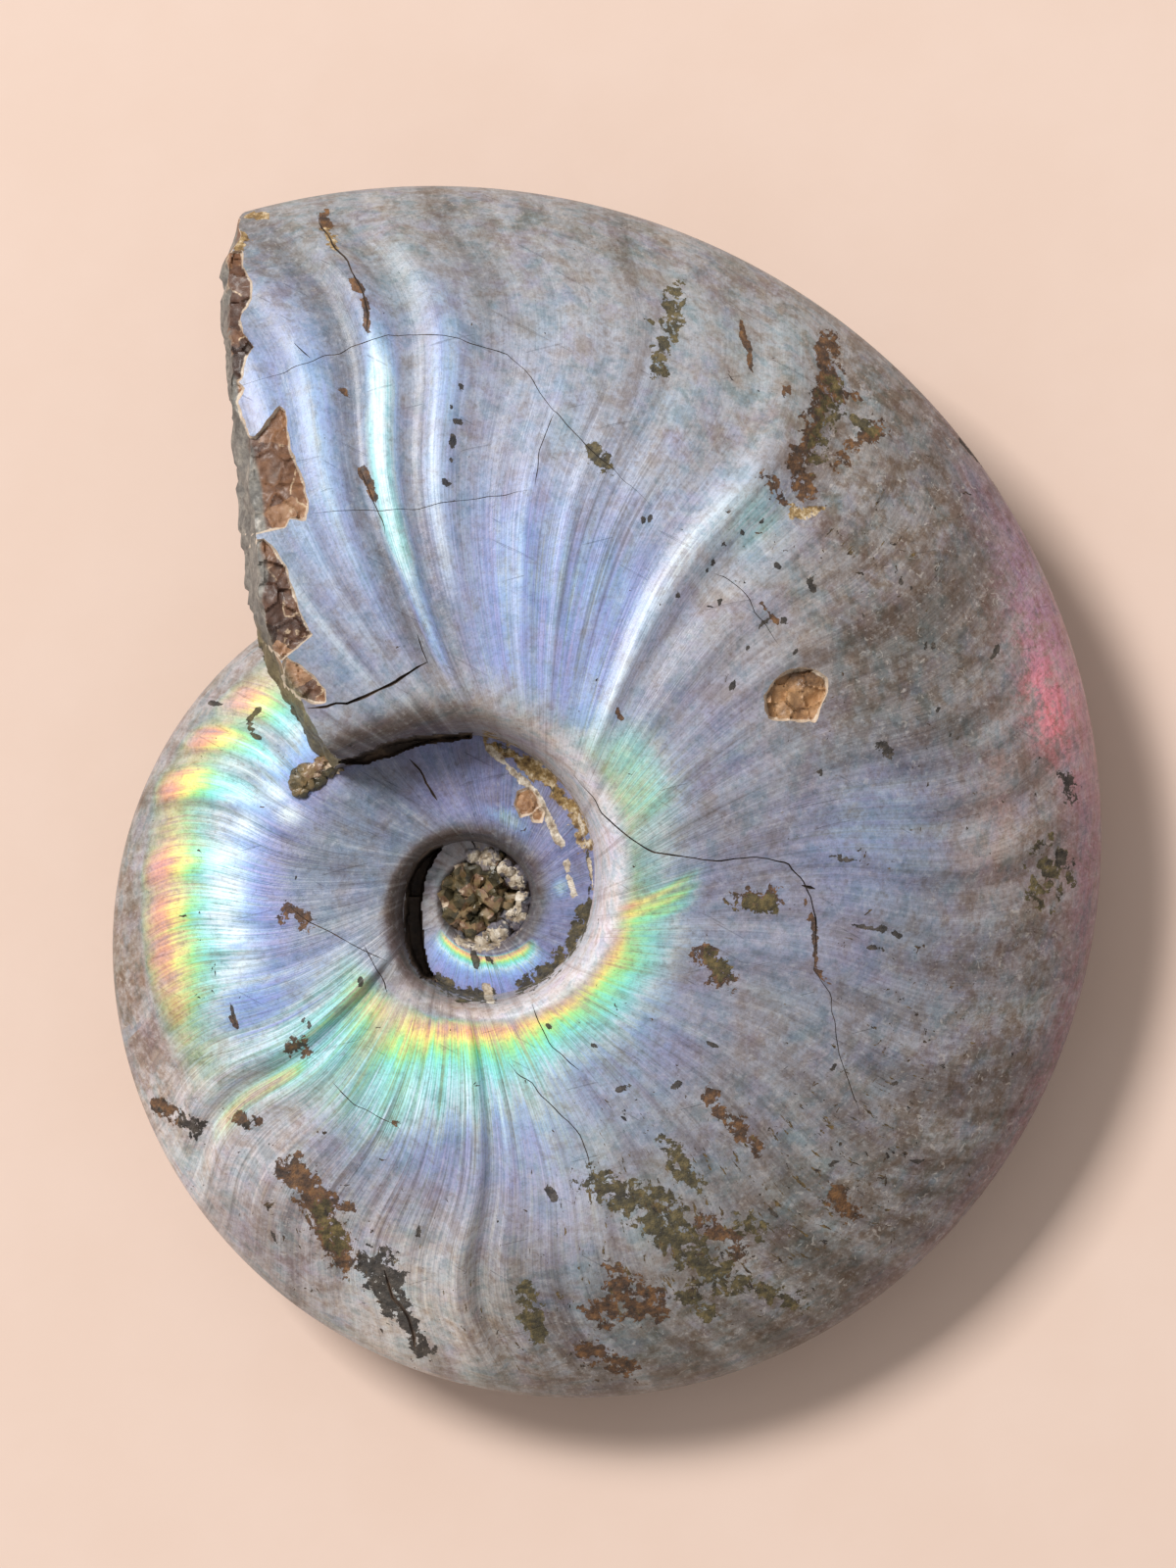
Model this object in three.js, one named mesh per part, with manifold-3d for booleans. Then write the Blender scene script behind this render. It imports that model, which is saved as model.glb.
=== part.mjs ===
// Polished ammonite fossil lying on one side: a coiled shell of three touching whorls, one closed solid.
// Millimetres, +Z up. The shell is first laid out round its own coil axis, then leaned over until it
// rests on the thick part of its underside.
import * as THREE from 'three';
import { mergeVertices } from 'three/addons/utils/BufferGeometryUtils.js';
import Module from 'manifold-3d';

// Coil: radius of the outer edge grows with the coil angle (degrees, counter-clockwise to the aperture).
const EDGE_RADIUS_AT_ZERO = 59.6;
const EDGE_GROWTH_PER_DEGREE = 0.00213291;
const EDGE_SWAY_COS = 0.0571114;
const EDGE_SWAY_SIN = -0.0101192;
const EDGE_OVAL_COS = -0.0115582;
const EDGE_OVAL_SIN = -0.0063608;
const INNER_START_ANGLE = -640;
const INNER_JOIN_ANGLE = -400;
const OUTER_JOIN_ANGLE = -160;
const OUTER_END_ANGLE = 158;

// Seam where a whorl meets the one inside it: coil angle, radius.
const SEAM_CURVE = [
  [-640, 3.5], [-540, 4.3], [-450, 4.5], [-360, 4.4], [-310, 4.6], [-270, 5.4], [-225, 6.9], [-180, 8.3],
  [-120, 9.6], [-60, 9.8], [0, 10.7], [45, 13.0], [90, 16.2], [115, 17.0], [132, 18.4], [140, 20.0],
  [160, 24.0],
];

// Whorl section.
const HALF_THICKNESS_OF_EDGE = 0.238;
const FLANK_POWER = 2.2;
const FLANK_ROUND = 0.57;
const WALL_WIDTH_OF_EDGE = 0.052;
const WALL_ROUND = 2.3;
const SEAM_HEIGHT_SHARE = 0.29;

// Ribs: coil angle at mid flank, height (minus is a furrow), half width in degrees.
const RIBS = [
  [-218, 0.35, 2.4], [-213.4, -0.25, 1.6], [-209, 0.4, 2.2], [-204.6, -0.35, 1.6], [-199.5, 0.45, 2.6],
  [-194.6, -0.4, 1.6], [-184, 0.3, 2.6], [-175, 0.2, 2.6], [-166, 0.2, 2.6],
  [-157, 0.2, 2.6], [-149, -0.2, 2.0], [-142.6, 0.5, 2.2], [-138, -0.85, 1.9], [-133, 0.4, 2.2],
  [-124, 0.25, 2.6], [-114, 0.2, 2.6], [-104, 0.2, 2.6], [-91, 0.65, 2.2], [-87.2, -0.6, 1.7],
  [-83.4, 0.35, 2.0], [-74, 0.2, 2.6], [-64, 0.2, 2.8], [-26, 0.2, 3.0], [-17, 0.25, 2.8], [-8, 0.3, 2.6],
  [0, 0.3, 2.6], [8, 0.35, 2.6], [16, 0.25, 2.6], [25, 0.2, 2.6], [40, 0.2, 2.8], [49, 0.2, 2.6],
  [55.6, -0.35, 2.2],
  [60.8, 0.8, 2.4], [71, 0.3, 2.0], [78, 0.35, 2.2], [84.5, 0.4, 2.0], [92, -0.3, 2.2], [97.6, 0.6, 2.0],
  [101, -0.35, 1.5], [104.4, 0.85, 1.7], [107.2, -0.35, 1.5], [112, 0.6, 2.0], [116.8, 0.4, 2.2],
];
// The long ribs keep their height down to the umbilicus; the others fade toward it, early ones soonest.
const LONG_RIBS = [-142.6, -138, -91, -87.2, -83.4, 60.8, 104.4, 107.2];
const EARLY_RIBS_UNTIL = -148;
const LONG_RIB_FADE = [0, 0.2];
const EARLY_RIB_FADE = [0.3, 0.66];
const RIB_FADE = [0.05, 0.5];
const RIB_RIM_FADE = [0.86, 1];
const RIB_LEAN = 13;
const RIB_LEAN_REACH = 0.13;
const RIB_FLEX = 3.4;
const RIB_FLEX_AT = 0.7;
const RIB_FLEX_WIDTH = 0.2;
const RIB_EDGE_TURN = 2.2;

// Broken aperture: share of the way from seam to outer edge, coil angle of the break at mid thickness.
const BREAK_CURVE = [
  [-0.25, 147], [0, 139.5], [0.08, 138.2], [0.18, 134.8], [0.27, 131.4], [0.36, 127.6], [0.45, 124.2],
  [0.55, 120.9], [0.68, 117.6], [0.8, 114.8], [0.88, 113.2], [0.94, 111.6], [1, 109.4], [1.15, 106],
];
const BREAK_FROM = -0.25;
const BREAK_TO = 1.15;
const BREAK_PIECES = 18;
const BREAK_LAYERS = [-1.4, -0.9, -0.45, 0, 0.45, 0.9, 1.4];
const BREAK_TOP_SETBACK = 3.0;
const BREAK_UNDER_SETBACK = 1.8;
const BREAK_ROUGHNESS = 0.9;
const BREAK_CLEAR_TO = 174;
const BREAK_CLEAR_WIDEN = 1.45;

// Crystal-filled middle of the coil.
const CORE_CENTRE = [-0.5, 0.1];
const CORE_RADIUS = 5.0;
const CORE_HALF_HEIGHT = 3.4;
const CORE_LUMP = 0.55;
const CORE_RINGS = [0.36, 0.72, 1];
const CORE_SIDES = 16;

// Chipped places with the filling bared: coil angle, radius, half length, half width, depth, turn.
const CHIPS = [
  [33.4, 36.9, 3.0, 2.5, 1.4, 20],
  [116.9, 48.8, 5.4, 2.7, 0.9, -27],
  [123.0, 37.7, 6.0, 3.2, 0.9, -33],
  [111.2, 67.2, 4.0, 1.7, 0.9, -22],
  [128.0, 28.6, 3.0, 2.2, 0.9, -38],
];
const CHIP_DETAIL = 1;

// Section points on the upper and lower face, and the widest steps between sections along the coil.
const UPPER_WALL_STEPS = [0, 0.18, 0.55];
const UPPER_FLANK_STEPS = [0, 0.06, 0.15, 0.27, 0.4, 0.54, 0.68, 0.81, 0.91, 0.975];
const LOWER_WALL_STEPS = [0, 0.25, 0.7];
const LOWER_FLANK_STEPS = [0, 0.13, 0.34, 0.58, 0.81, 0.96];
const INNER_STEP = 10;
const MIDDLE_STEP = 8;
const MIDDLE_FINE_FROM = -226;
const OUTER_STEP = 3.3;
const PLUG_LENGTH = 4;
const PLUG_TAPER = 0.3;

// Rest position: lean of the coil axis, the direction it leans to, and the height, from the coil's centre,
// of the worn flat it lies on.
const REST_LEAN = 5.25;
const REST_LEAN_TOWARD = -55;
const REST_FLAT_HEIGHT = -15.7;
const SLAB_SIZE = 400;

// Numbers that scramble the roughness of the break and of the crystal middle.
const NOISE_ALONG = 12.9898;
const NOISE_UP = 78.233;
const NOISE_SHIFT = 4.1;
const NOISE_SPREAD = 43758.5453;

const SURFACE = { color: 0x9a9cab, roughness: 0.3, metalness: 0.1 };

const RAD = Math.PI / 180;

function smoothStep(low, high, value) {
  const share = Math.min(1, Math.max(0, (value - low) / (high - low)));
  return share * share * (3 - 2 * share);
}

function bump(value, centre, width) {
  const offset = (value - centre) / width;
  return Math.exp(-offset * offset);
}

// Smooth curve through a table of [place, value] pairs.
function along(table, place) {
  const last = table.length - 1;
  let k = 0;
  while (k < last - 1 && table[k + 1][0] < place) k += 1;
  const slope = (i) => {
    const before = table[Math.max(0, i - 1)];
    const after = table[Math.min(last, i + 1)];
    return (after[1] - before[1]) / (after[0] - before[0]);
  };
  const [x0, y0] = table[k];
  const [x1, y1] = table[k + 1];
  const span = x1 - x0;
  const u = Math.min(1, Math.max(0, (place - x0) / span));
  const rise = u * u * (3 - 2 * u);
  const bend = slope(k) * u * (1 - u) * (1 - u) - slope(k + 1) * u * u * (1 - u);
  return y0 * (1 - rise) + y1 * rise + span * bend;
}

// Repeatable value between -1 and 1.
function noise(i, j) {
  const wave = Math.sin(i * NOISE_ALONG + j * NOISE_UP + NOISE_SHIFT) * NOISE_SPREAD;
  return 2 * (wave - Math.floor(wave)) - 1;
}

function edgeRadius(angle) {
  const a = angle * RAD;
  const sway = EDGE_SWAY_COS * Math.cos(a) + EDGE_SWAY_SIN * Math.sin(a);
  const oval = EDGE_OVAL_COS * Math.cos(2 * a) + EDGE_OVAL_SIN * Math.sin(2 * a);
  return EDGE_RADIUS_AT_ZERO * Math.exp(EDGE_GROWTH_PER_DEGREE * angle + sway + oval);
}

function seamRadius(angle) {
  return along(SEAM_CURVE, angle);
}

// How far a growth line runs behind its coil angle at mid flank, at a share of the way across.
function growthLag(across) {
  const lean = RIB_LEAN * Math.exp(-Math.max(0, across) / RIB_LEAN_REACH);
  const flex = RIB_FLEX * bump(across, RIB_FLEX_AT, RIB_FLEX_WIDTH);
  const turn = RIB_EDGE_TURN * smoothStep(0.8, 1, across);
  return lean + flex - turn;
}

function ribHeight(angle, across) {
  const line = angle + growthLag(across);
  let height = 0;
  for (const [at, rise, width] of RIBS) {
    const shortFade = at < EARLY_RIBS_UNTIL ? EARLY_RIB_FADE : RIB_FADE;
    const [from, to] = LONG_RIBS.includes(at) ? LONG_RIB_FADE : shortFade;
    height += rise * bump(line, at, width) * smoothStep(from, to, across);
  }
  return height * (1 - smoothStep(RIB_RIM_FADE[0], RIB_RIM_FADE[1], across));
}

// Height of the shell surface over the middle plane, at a coil angle and a share of the way across.
function surfaceHeight(angle, across) {
  const edge = edgeRadius(angle);
  const seam = seamRadius(angle);
  const half = HALF_THICKNESS_OF_EDGE * edge;
  const flank = half * Math.pow(1 - Math.pow(across, FLANK_POWER), FLANK_ROUND) + ribHeight(angle, across);
  const fromSeam = (across * (edge - seam)) / (WALL_WIDTH_OF_EDGE * edge);
  if (fromSeam >= 1) return flank;
  const foot = SEAM_HEIGHT_SHARE * half;
  const climb = Math.pow(1 - Math.pow(1 - fromSeam, WALL_ROUND), 1 / WALL_ROUND);
  return foot + (flank - foot) * climb;
}

// Shares across the flank for one face of a section, seam first.
function crossings(angle, wallSteps, flankSteps) {
  const edge = edgeRadius(angle);
  const wall = (WALL_WIDTH_OF_EDGE * edge) / (edge - seamRadius(angle));
  return [...wallSteps.map((step) => step * wall), ...flankSteps.map((step) => wall + (1 - wall) * step)];
}

function placed(angle, across, height) {
  const seam = seamRadius(angle);
  const radius = seam + (edgeRadius(angle) - seam) * across;
  return new THREE.Vector3(radius * Math.cos(angle * RAD), radius * Math.sin(angle * RAD), height);
}

// One closed section of the shell along a growth line, as a ring of points.
function section(line) {
  const point = (across, side) => {
    const angle = line - growthLag(across);
    return placed(angle, across, side * surfaceHeight(angle, across));
  };
  const upper = crossings(line, UPPER_WALL_STEPS, UPPER_FLANK_STEPS);
  const lower = crossings(line, LOWER_WALL_STEPS, LOWER_FLANK_STEPS).reverse();
  return [
    ...upper.map((across) => point(across, 1)),
    placed(line - growthLag(1), 1, 0),
    ...lower.map((across) => point(across, -1)),
  ];
}

// Triangles that close a section, running up and down between its upper and its lower face.
function endTriangles(line) {
  const upper = crossings(line, UPPER_WALL_STEPS, UPPER_FLANK_STEPS);
  const lower = crossings(line, LOWER_WALL_STEPS, LOWER_FLANK_STEPS);
  const under = (b) => upper.length + lower.length - b;
  const triangles = [];
  let a = 0;
  let b = 0;
  while (a < upper.length - 1 || b < lower.length - 1) {
    const upperNext = a < upper.length - 1 ? upper[a + 1] : Infinity;
    const lowerNext = b < lower.length - 1 ? lower[b + 1] : Infinity;
    if (upperNext <= lowerNext) {
      triangles.push([a, under(b), a + 1]);
      a += 1;
    } else {
      triangles.push([a, under(b), under(b + 1)]);
      b += 1;
    }
  }
  triangles.push([a, under(b), upper.length]);
  return triangles;
}

// Closed body through the sections at the given coil angles. One that goes on in the next piece ends in a
// narrower plug inside it.
function whorl(lines, goesOn) {
  const rings = lines.map(section);
  const count = rings[0].length;
  let endLine = lines[lines.length - 1];
  if (goesOn) {
    endLine += PLUG_LENGTH;
    const plug = section(endLine);
    const centre = plug.reduce((sum, p) => sum.add(p), new THREE.Vector3()).divideScalar(count);
    rings.push(plug.map((p) => p.lerp(centre, PLUG_TAPER)));
  }
  const points = rings.flat();
  const faces = [];
  for (let i = 0; i < rings.length - 1; i += 1) {
    for (let j = 0; j < count; j += 1) {
      const a = i * count + j;
      const b = i * count + ((j + 1) % count);
      faces.push(a, b, a + count, b, b + count, a + count);
    }
  }
  for (const [a, b, c] of endTriangles(lines[0])) faces.push(a, b, c);
  const end = (rings.length - 1) * count;
  for (const [a, b, c] of endTriangles(endLine)) faces.push(end + a, end + c, end + b);
  return solid(points, faces);
}

// Block that takes away everything past the rough break of the last whorl.
function breakBlock() {
  const points = [];
  const faces = [];
  const rows = BREAK_LAYERS.length;
  for (let i = 0; i <= BREAK_PIECES; i += 1) {
    const across = BREAK_FROM + ((BREAK_TO - BREAK_FROM) * i) / BREAK_PIECES;
    const angle = along(BREAK_CURVE, across);
    for (const [k, lift] of BREAK_LAYERS.entries()) {
      const setback = lift > 0 ? BREAK_TOP_SETBACK * lift * lift : BREAK_UNDER_SETBACK * lift * lift;
      const height = lift * HALF_THICKNESS_OF_EDGE * edgeRadius(angle);
      const near = placed(angle - setback, across, height);
      const forward = new THREE.Vector3(-near.y, near.x, 0).normalize();
      near.addScaledVector(forward, BREAK_ROUGHNESS * noise(i, k));
      points.push(near, placed(BREAK_CLEAR_TO, across * BREAK_CLEAR_WIDEN, height));
    }
  }
  const at = (i, k, far) => 2 * (i * rows + k) + far;
  const patch = (a, b, c, d) => faces.push(a, c, b, a, d, c);
  for (let i = 0; i < BREAK_PIECES; i += 1) {
    for (let k = 0; k < rows - 1; k += 1) {
      patch(at(i, k, 0), at(i, k + 1, 0), at(i + 1, k + 1, 0), at(i + 1, k, 0));
      patch(at(i, k, 1), at(i + 1, k, 1), at(i + 1, k + 1, 1), at(i, k + 1, 1));
    }
    patch(at(i, 0, 0), at(i + 1, 0, 0), at(i + 1, 0, 1), at(i, 0, 1));
    patch(at(i, rows - 1, 0), at(i, rows - 1, 1), at(i + 1, rows - 1, 1), at(i + 1, rows - 1, 0));
  }
  for (let k = 0; k < rows - 1; k += 1) {
    patch(at(0, k, 0), at(0, k, 1), at(0, k + 1, 1), at(0, k + 1, 0));
    patch(
      at(BREAK_PIECES, k, 0), at(BREAK_PIECES, k + 1, 0),
      at(BREAK_PIECES, k + 1, 1), at(BREAK_PIECES, k, 1),
    );
  }
  return solid(points, faces);
}

// Lumpy drum in the middle of the coil.
function core() {
  const points = [];
  const faces = [];
  const [x, y] = CORE_CENTRE;
  for (const side of [1, -1]) {
    const first = points.length;
    points.push(new THREE.Vector3(x, y, side * CORE_HALF_HEIGHT));
    for (const [k, share] of CORE_RINGS.entries()) {
      for (let j = 0; j < CORE_SIDES; j += 1) {
        const turn = (2 * Math.PI * (j + 0.5 * (k % 2))) / CORE_SIDES;
        const drop = share === 1 ? 0 : CORE_LUMP * noise(j + side, k + 9);
        const radius = CORE_RADIUS * share;
        points.push(new THREE.Vector3(
          x + radius * Math.cos(turn),
          y + radius * Math.sin(turn),
          side * (CORE_HALF_HEIGHT + drop - share * CORE_LUMP),
        ));
      }
    }
    const face = (a, b, c) => (side > 0 ? faces.push(a, b, c) : faces.push(a, c, b));
    for (let j = 0; j < CORE_SIDES; j += 1) face(first, first + 1 + j, first + 1 + ((j + 1) % CORE_SIDES));
    for (let k = 0; k < CORE_RINGS.length - 1; k += 1) {
      const a = first + 1 + k * CORE_SIDES;
      const b = a + CORE_SIDES;
      for (let j = 0; j < CORE_SIDES; j += 1) {
        const next = (j + 1) % CORE_SIDES;
        if (k % 2 === 0) {
          face(a + j, b + j, a + next);
          face(a + next, b + j, b + next);
        } else {
          face(a + j, b + j, b + next);
          face(a + j, b + next, a + next);
        }
      }
    }
  }
  const top = 1 + (CORE_RINGS.length - 1) * CORE_SIDES;
  const bottom = top + 1 + CORE_RINGS.length * CORE_SIDES;
  for (let j = 0; j < CORE_SIDES; j += 1) {
    const next = (j + 1) % CORE_SIDES;
    faces.push(top + j, bottom + j, top + next, top + next, bottom + j, bottom + next);
  }
  return solid(points, faces);
}

const wasm = await Module();
wasm.setup();

const leanAxis = new THREE.Vector3(-Math.sin(REST_LEAN_TOWARD * RAD), Math.cos(REST_LEAN_TOWARD * RAD), 0);
const lean = new THREE.Matrix4().makeRotationAxis(leanAxis, REST_LEAN * RAD);

// Points laid out round the coil axis become a solid leaned over onto its resting side.
function solid(points, faces) {
  const vertProperties = new Float32Array(points.flatMap((p) => p.clone().applyMatrix4(lean).toArray()));
  const triVerts = new Uint32Array(faces);
  return new wasm.Manifold(new wasm.Mesh({ numProp: 3, vertProperties, triVerts }));
}

function solidFrom(geometry) {
  geometry.deleteAttribute('normal');
  geometry.deleteAttribute('uv');
  const merged = mergeVertices(geometry);
  const vertProperties = new Float32Array(merged.attributes.position.array);
  const triVerts = new Uint32Array(merged.index.array);
  return new wasm.Manifold(new wasm.Mesh({ numProp: 3, vertProperties, triVerts }));
}

// Faceted pocket let into the upper flank, square to the surface there.
function chip([angle, radius, halfLength, halfWidth, depth, turn]) {
  const surface = (a, r) => {
    const seam = seamRadius(a);
    const across = (r - seam) / (edgeRadius(a) - seam);
    return placed(a, across, surfaceHeight(a, across));
  };
  const centre = surface(angle, radius);
  const outward = surface(angle, radius + 1).sub(centre);
  const onward = surface(angle + 1, radius).sub(centre);
  const normal = outward.cross(onward).normalize();
  const upright = new THREE.Quaternion().setFromUnitVectors(new THREE.Vector3(0, 0, 1), normal);
  const geometry = new THREE.IcosahedronGeometry(1, CHIP_DETAIL);
  geometry.scale(halfLength, halfWidth, depth);
  geometry.rotateZ((angle + turn) * RAD);
  geometry.applyQuaternion(upright);
  geometry.translate(centre.x, centre.y, centre.z);
  geometry.applyMatrix4(lean);
  return solidFrom(geometry);
}

// Coil angles for the sections: one on every rib and furrow, and more where the gap is wider than the step.
function sectionLines(from, to, step) {
  const onRibs = RIBS.map(([at]) => at).filter((at) => at > from + 1 && at < to - 1);
  const stops = [from, ...onRibs, to];
  const lines = [from];
  for (let k = 1; k < stops.length; k += 1) {
    const gap = stops[k] - stops[k - 1];
    const count = Math.ceil(gap / step);
    for (let i = 1; i <= count; i += 1) lines.push(i === count ? stops[k] : stops[k - 1] + (i * gap) / count);
  }
  return lines;
}

const innerWhorl = whorl(sectionLines(INNER_START_ANGLE, INNER_JOIN_ANGLE, INNER_STEP), true);
const middleWhorl = whorl([
  ...sectionLines(INNER_JOIN_ANGLE, MIDDLE_FINE_FROM, MIDDLE_STEP),
  ...sectionLines(MIDDLE_FINE_FROM, OUTER_JOIN_ANGLE, OUTER_STEP).slice(1),
], true);
const outerWhorl = whorl(sectionLines(OUTER_JOIN_ANGLE, OUTER_END_ANGLE, OUTER_STEP), false)
  .subtract(breakBlock());

let shell = outerWhorl.add(middleWhorl).add(innerWhorl).add(core());
for (const spot of CHIPS) shell = shell.subtract(chip(spot));

// Wear the resting side flat, then centre over the origin.
const slab = new THREE.BoxGeometry(SLAB_SIZE, SLAB_SIZE, SLAB_SIZE);
slab.translate(0, 0, REST_FLAT_HEIGHT - SLAB_SIZE / 2);
shell = shell.subtract(solidFrom(slab));

const result = shell.getMesh();
const geometry = new THREE.BufferGeometry();
geometry.setAttribute('position', new THREE.BufferAttribute(new Float32Array(result.vertProperties), 3));
geometry.setIndex(new THREE.BufferAttribute(new Uint32Array(result.triVerts), 1));
geometry.computeBoundingBox();
const middle = geometry.boundingBox.getCenter(new THREE.Vector3());
geometry.translate(-middle.x, -middle.y, -geometry.boundingBox.min.z);
geometry.computeVertexNormals();

const mesh = new THREE.Mesh(geometry, new THREE.MeshStandardMaterial(SURFACE));
mesh.name = 'ammonite';
const group = new THREE.Group();
group.name = 'ammonite_fossil';
group.add(mesh);

export default group;
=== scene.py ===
import math
import bpy
import numpy as np
from mathutils import Matrix, Vector


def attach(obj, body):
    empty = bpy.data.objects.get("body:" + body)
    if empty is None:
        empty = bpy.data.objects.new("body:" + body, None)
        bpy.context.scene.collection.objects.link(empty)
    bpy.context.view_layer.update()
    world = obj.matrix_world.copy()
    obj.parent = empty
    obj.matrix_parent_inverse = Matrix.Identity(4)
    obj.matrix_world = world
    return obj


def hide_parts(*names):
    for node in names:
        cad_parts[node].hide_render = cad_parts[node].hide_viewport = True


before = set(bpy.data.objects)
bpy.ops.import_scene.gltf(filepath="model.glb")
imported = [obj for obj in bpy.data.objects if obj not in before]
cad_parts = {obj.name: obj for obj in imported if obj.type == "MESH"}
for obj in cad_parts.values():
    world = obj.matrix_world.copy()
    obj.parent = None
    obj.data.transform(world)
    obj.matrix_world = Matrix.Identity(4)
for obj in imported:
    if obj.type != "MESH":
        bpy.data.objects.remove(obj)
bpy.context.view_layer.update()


def rows(text):
    """Rows of numbers, parted by semicolons."""
    return [[float(v) for v in row.split()] for row in text.split(";")]


# shell shape
# Millimetres round the coil axis, the same values as the solid model.
EDGE_GROWTH = 0.00213291
# Coil angle and radius of the seam on which a turn stands.
SEAM_CURVE = np.array(rows("""
    -640 3.5; -540 4.3; -450 4.5; -360 4.4; -310 4.6; -270 5.4; -225 6.9; -180 8.3; -120 9.6; -60 9.8; 0 10.7;
    45 13; 90 16.2; 115 17; 132 18.4; 140 20; 160 24
"""))
HALF_THICKNESS, FLANK_POWER, FLANK_ROUND = 0.238, 2.2, 0.57
WALL_WIDTH, WALL_ROUND, SEAM_HEIGHT = 0.052, 2.3, 0.29
# Growth line, rise and half width of each rib or furrow.
RIBS = rows("""
    -218 .35 2.4; -213.4 -.25 1.6; -209 .4 2.2; -204.6 -.35 1.6; -199.5 .45 2.6; -194.6 -.4 1.6; -184 .3 2.6;
    -175 .2 2.6; -166 .2 2.6; -157 .2 2.6; -149 -.2 2; -142.6 .5 2.2; -138 -.85 1.9; -133 .4 2.2; -124 .25 2.6;
    -114 .2 2.6; -104 .2 2.6; -91 .65 2.2; -87.2 -.6 1.7; -83.4 .35 2; -74 .2 2.6; -64 .2 2.8; -26 .2 3; -17
    .25 2.8; -8 .3 2.6; 0 .3 2.6; 8 .35 2.6; 16 .25 2.6; 25 .2 2.6; 40 .2 2.8; 49 .2 2.6; 55.6 -.35 2.2; 60.8
    .8 2.4; 71 .3 2; 78 .35 2.2; 84.5 .4 2; 92 -.3 2.2; 97.6 .6 2; 101 -.35 1.5; 104.4 .85 1.7; 107.2 -.35 1.5;
    112 .6 2; 116.8 .4 2.2
""")
LONG_RIBS = (-142.6, -138.0, -91.0, -87.2, -83.4, 60.8, 104.4, 107.2)
EARLY_RIBS_UNTIL = -148
# Share across the flank and coil angle of the break.
BREAK_CURVE = np.array(rows("""
    -.25 147; 0 139.5; .08 138.2; .18 134.8; .27 131.4; .36 127.6; .45 124.2; .55 120.9; .68 117.6; .8 114.8;
    .88 113.2; .94 111.6; 1 109.4; 1.15 106
"""))
LEAN, LEAN_TOWARD, FLAT_HEIGHT = math.radians(5.25), math.radians(-55), -15.7
CENTRE_SHIFT = (-12.217, -10.674)
CORE_CENTRE = (-0.9, -0.1)
MM = 0.001
RAD = math.pi / 180

lean = Matrix.Rotation(LEAN, 4, Vector((-math.sin(LEAN_TOWARD), math.cos(LEAN_TOWARD), 0)))
to_row = Matrix.Translation(Vector((*CENTRE_SHIFT, -FLAT_HEIGHT)) * MM) @ lean @ Matrix.Scale(MM, 4)
M_ROW = np.array(to_row)
M_COIL = np.linalg.inv(M_ROW)


def lin(*rgb):
    """Linear colour from the usual 0 to 255 screen values."""
    c = np.array(rgb, float) / 255
    return np.where(c <= 0.04045, c / 12.92, ((c + 0.055) / 1.055) ** 2.4)


def moved(points, m):
    return points @ m[:3, :3].T + m[:3, 3]


def smooth(low, high, v):
    s = np.clip((v - low) / (high - low), 0, 1)
    return s * s * (3 - 2 * s)


def between(v, a, b, c, d):
    """One from b to c, falling smoothly to zero at a and d."""
    return smooth(a, b, v) * (1 - smooth(c, d, v))


def bump(v, centre, width):
    return np.exp(-(((v - centre) / width) ** 2))


def along(table, place):
    """Smooth curve through the rows of a table."""
    x, y = table[:, 0], table[:, 1]
    m = np.empty(len(x))
    m[1:-1] = (y[2:] - y[:-2]) / (x[2:] - x[:-2])
    m[0], m[-1] = (y[1] - y[0]) / (x[1] - x[0]), (y[-1] - y[-2]) / (x[-1] - x[-2])
    k = np.clip(np.searchsorted(x, place) - 1, 0, len(x) - 2)
    h = x[k + 1] - x[k]
    u = np.clip((place - x[k]) / h, 0, 1)
    r = u * u * (3 - 2 * u)
    return y[k] * (1 - r) + y[k + 1] * r + h * (m[k] * u * (1 - u) ** 2 - m[k + 1] * u * u * (1 - u))


def edge_radius(angle):
    a = angle * RAD
    sway = 0.0571114 * np.cos(a) - 0.0101192 * np.sin(a) - 0.0115582 * np.cos(2 * a) - 0.0063608 * np.sin(2 * a)
    return 59.6 * np.exp(EDGE_GROWTH * angle + sway)


def seam_radius(angle):
    return along(SEAM_CURVE, angle)


def growth_lag(t):
    return 13 * np.exp(-np.maximum(0, t) / 0.13) + 3.4 * bump(t, 0.7, 0.2) - 2.2 * smooth(0.8, 1, t)


def hashed(seed, *cell):
    """Repeatable value from -1 to 1 for a whole-numbered cell."""
    h = seed * 1274126177
    for c, prime in zip(cell, (374761393, 668265263, 2147483647)):
        h = h + c.astype(np.int64) * prime
    h = h & 0xFFFFFFFF
    h = ((h ^ (h >> 13)) * 1103515245) & 0xFFFFFFFF
    h = ((h ^ (h >> 16)) * 2654435761) & 0xFFFFFFFF
    return (h >> 8) / 0x800000 - 1.0


def noise3(p, size, seed):
    """Smooth repeatable noise from -1 to 1 at points p, with features of that size."""
    q = p / size
    b = np.floor(q)
    f = q - b
    f = f * f * (3 - 2 * f)
    out = np.zeros(len(p))
    for corner in np.ndindex(2, 2, 2):
        wx, wy, wz = (f[:, i] if corner[i] else 1 - f[:, i] for i in range(3))
        out += wx * wy * wz * hashed(seed, *(b + corner).T)
    return out


def noise2(x, y, size, seed):
    flat = np.stack([np.ravel(x), np.ravel(y), np.zeros(np.size(x))], 1)
    return noise3(flat, size, seed).reshape(np.shape(x))


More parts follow.
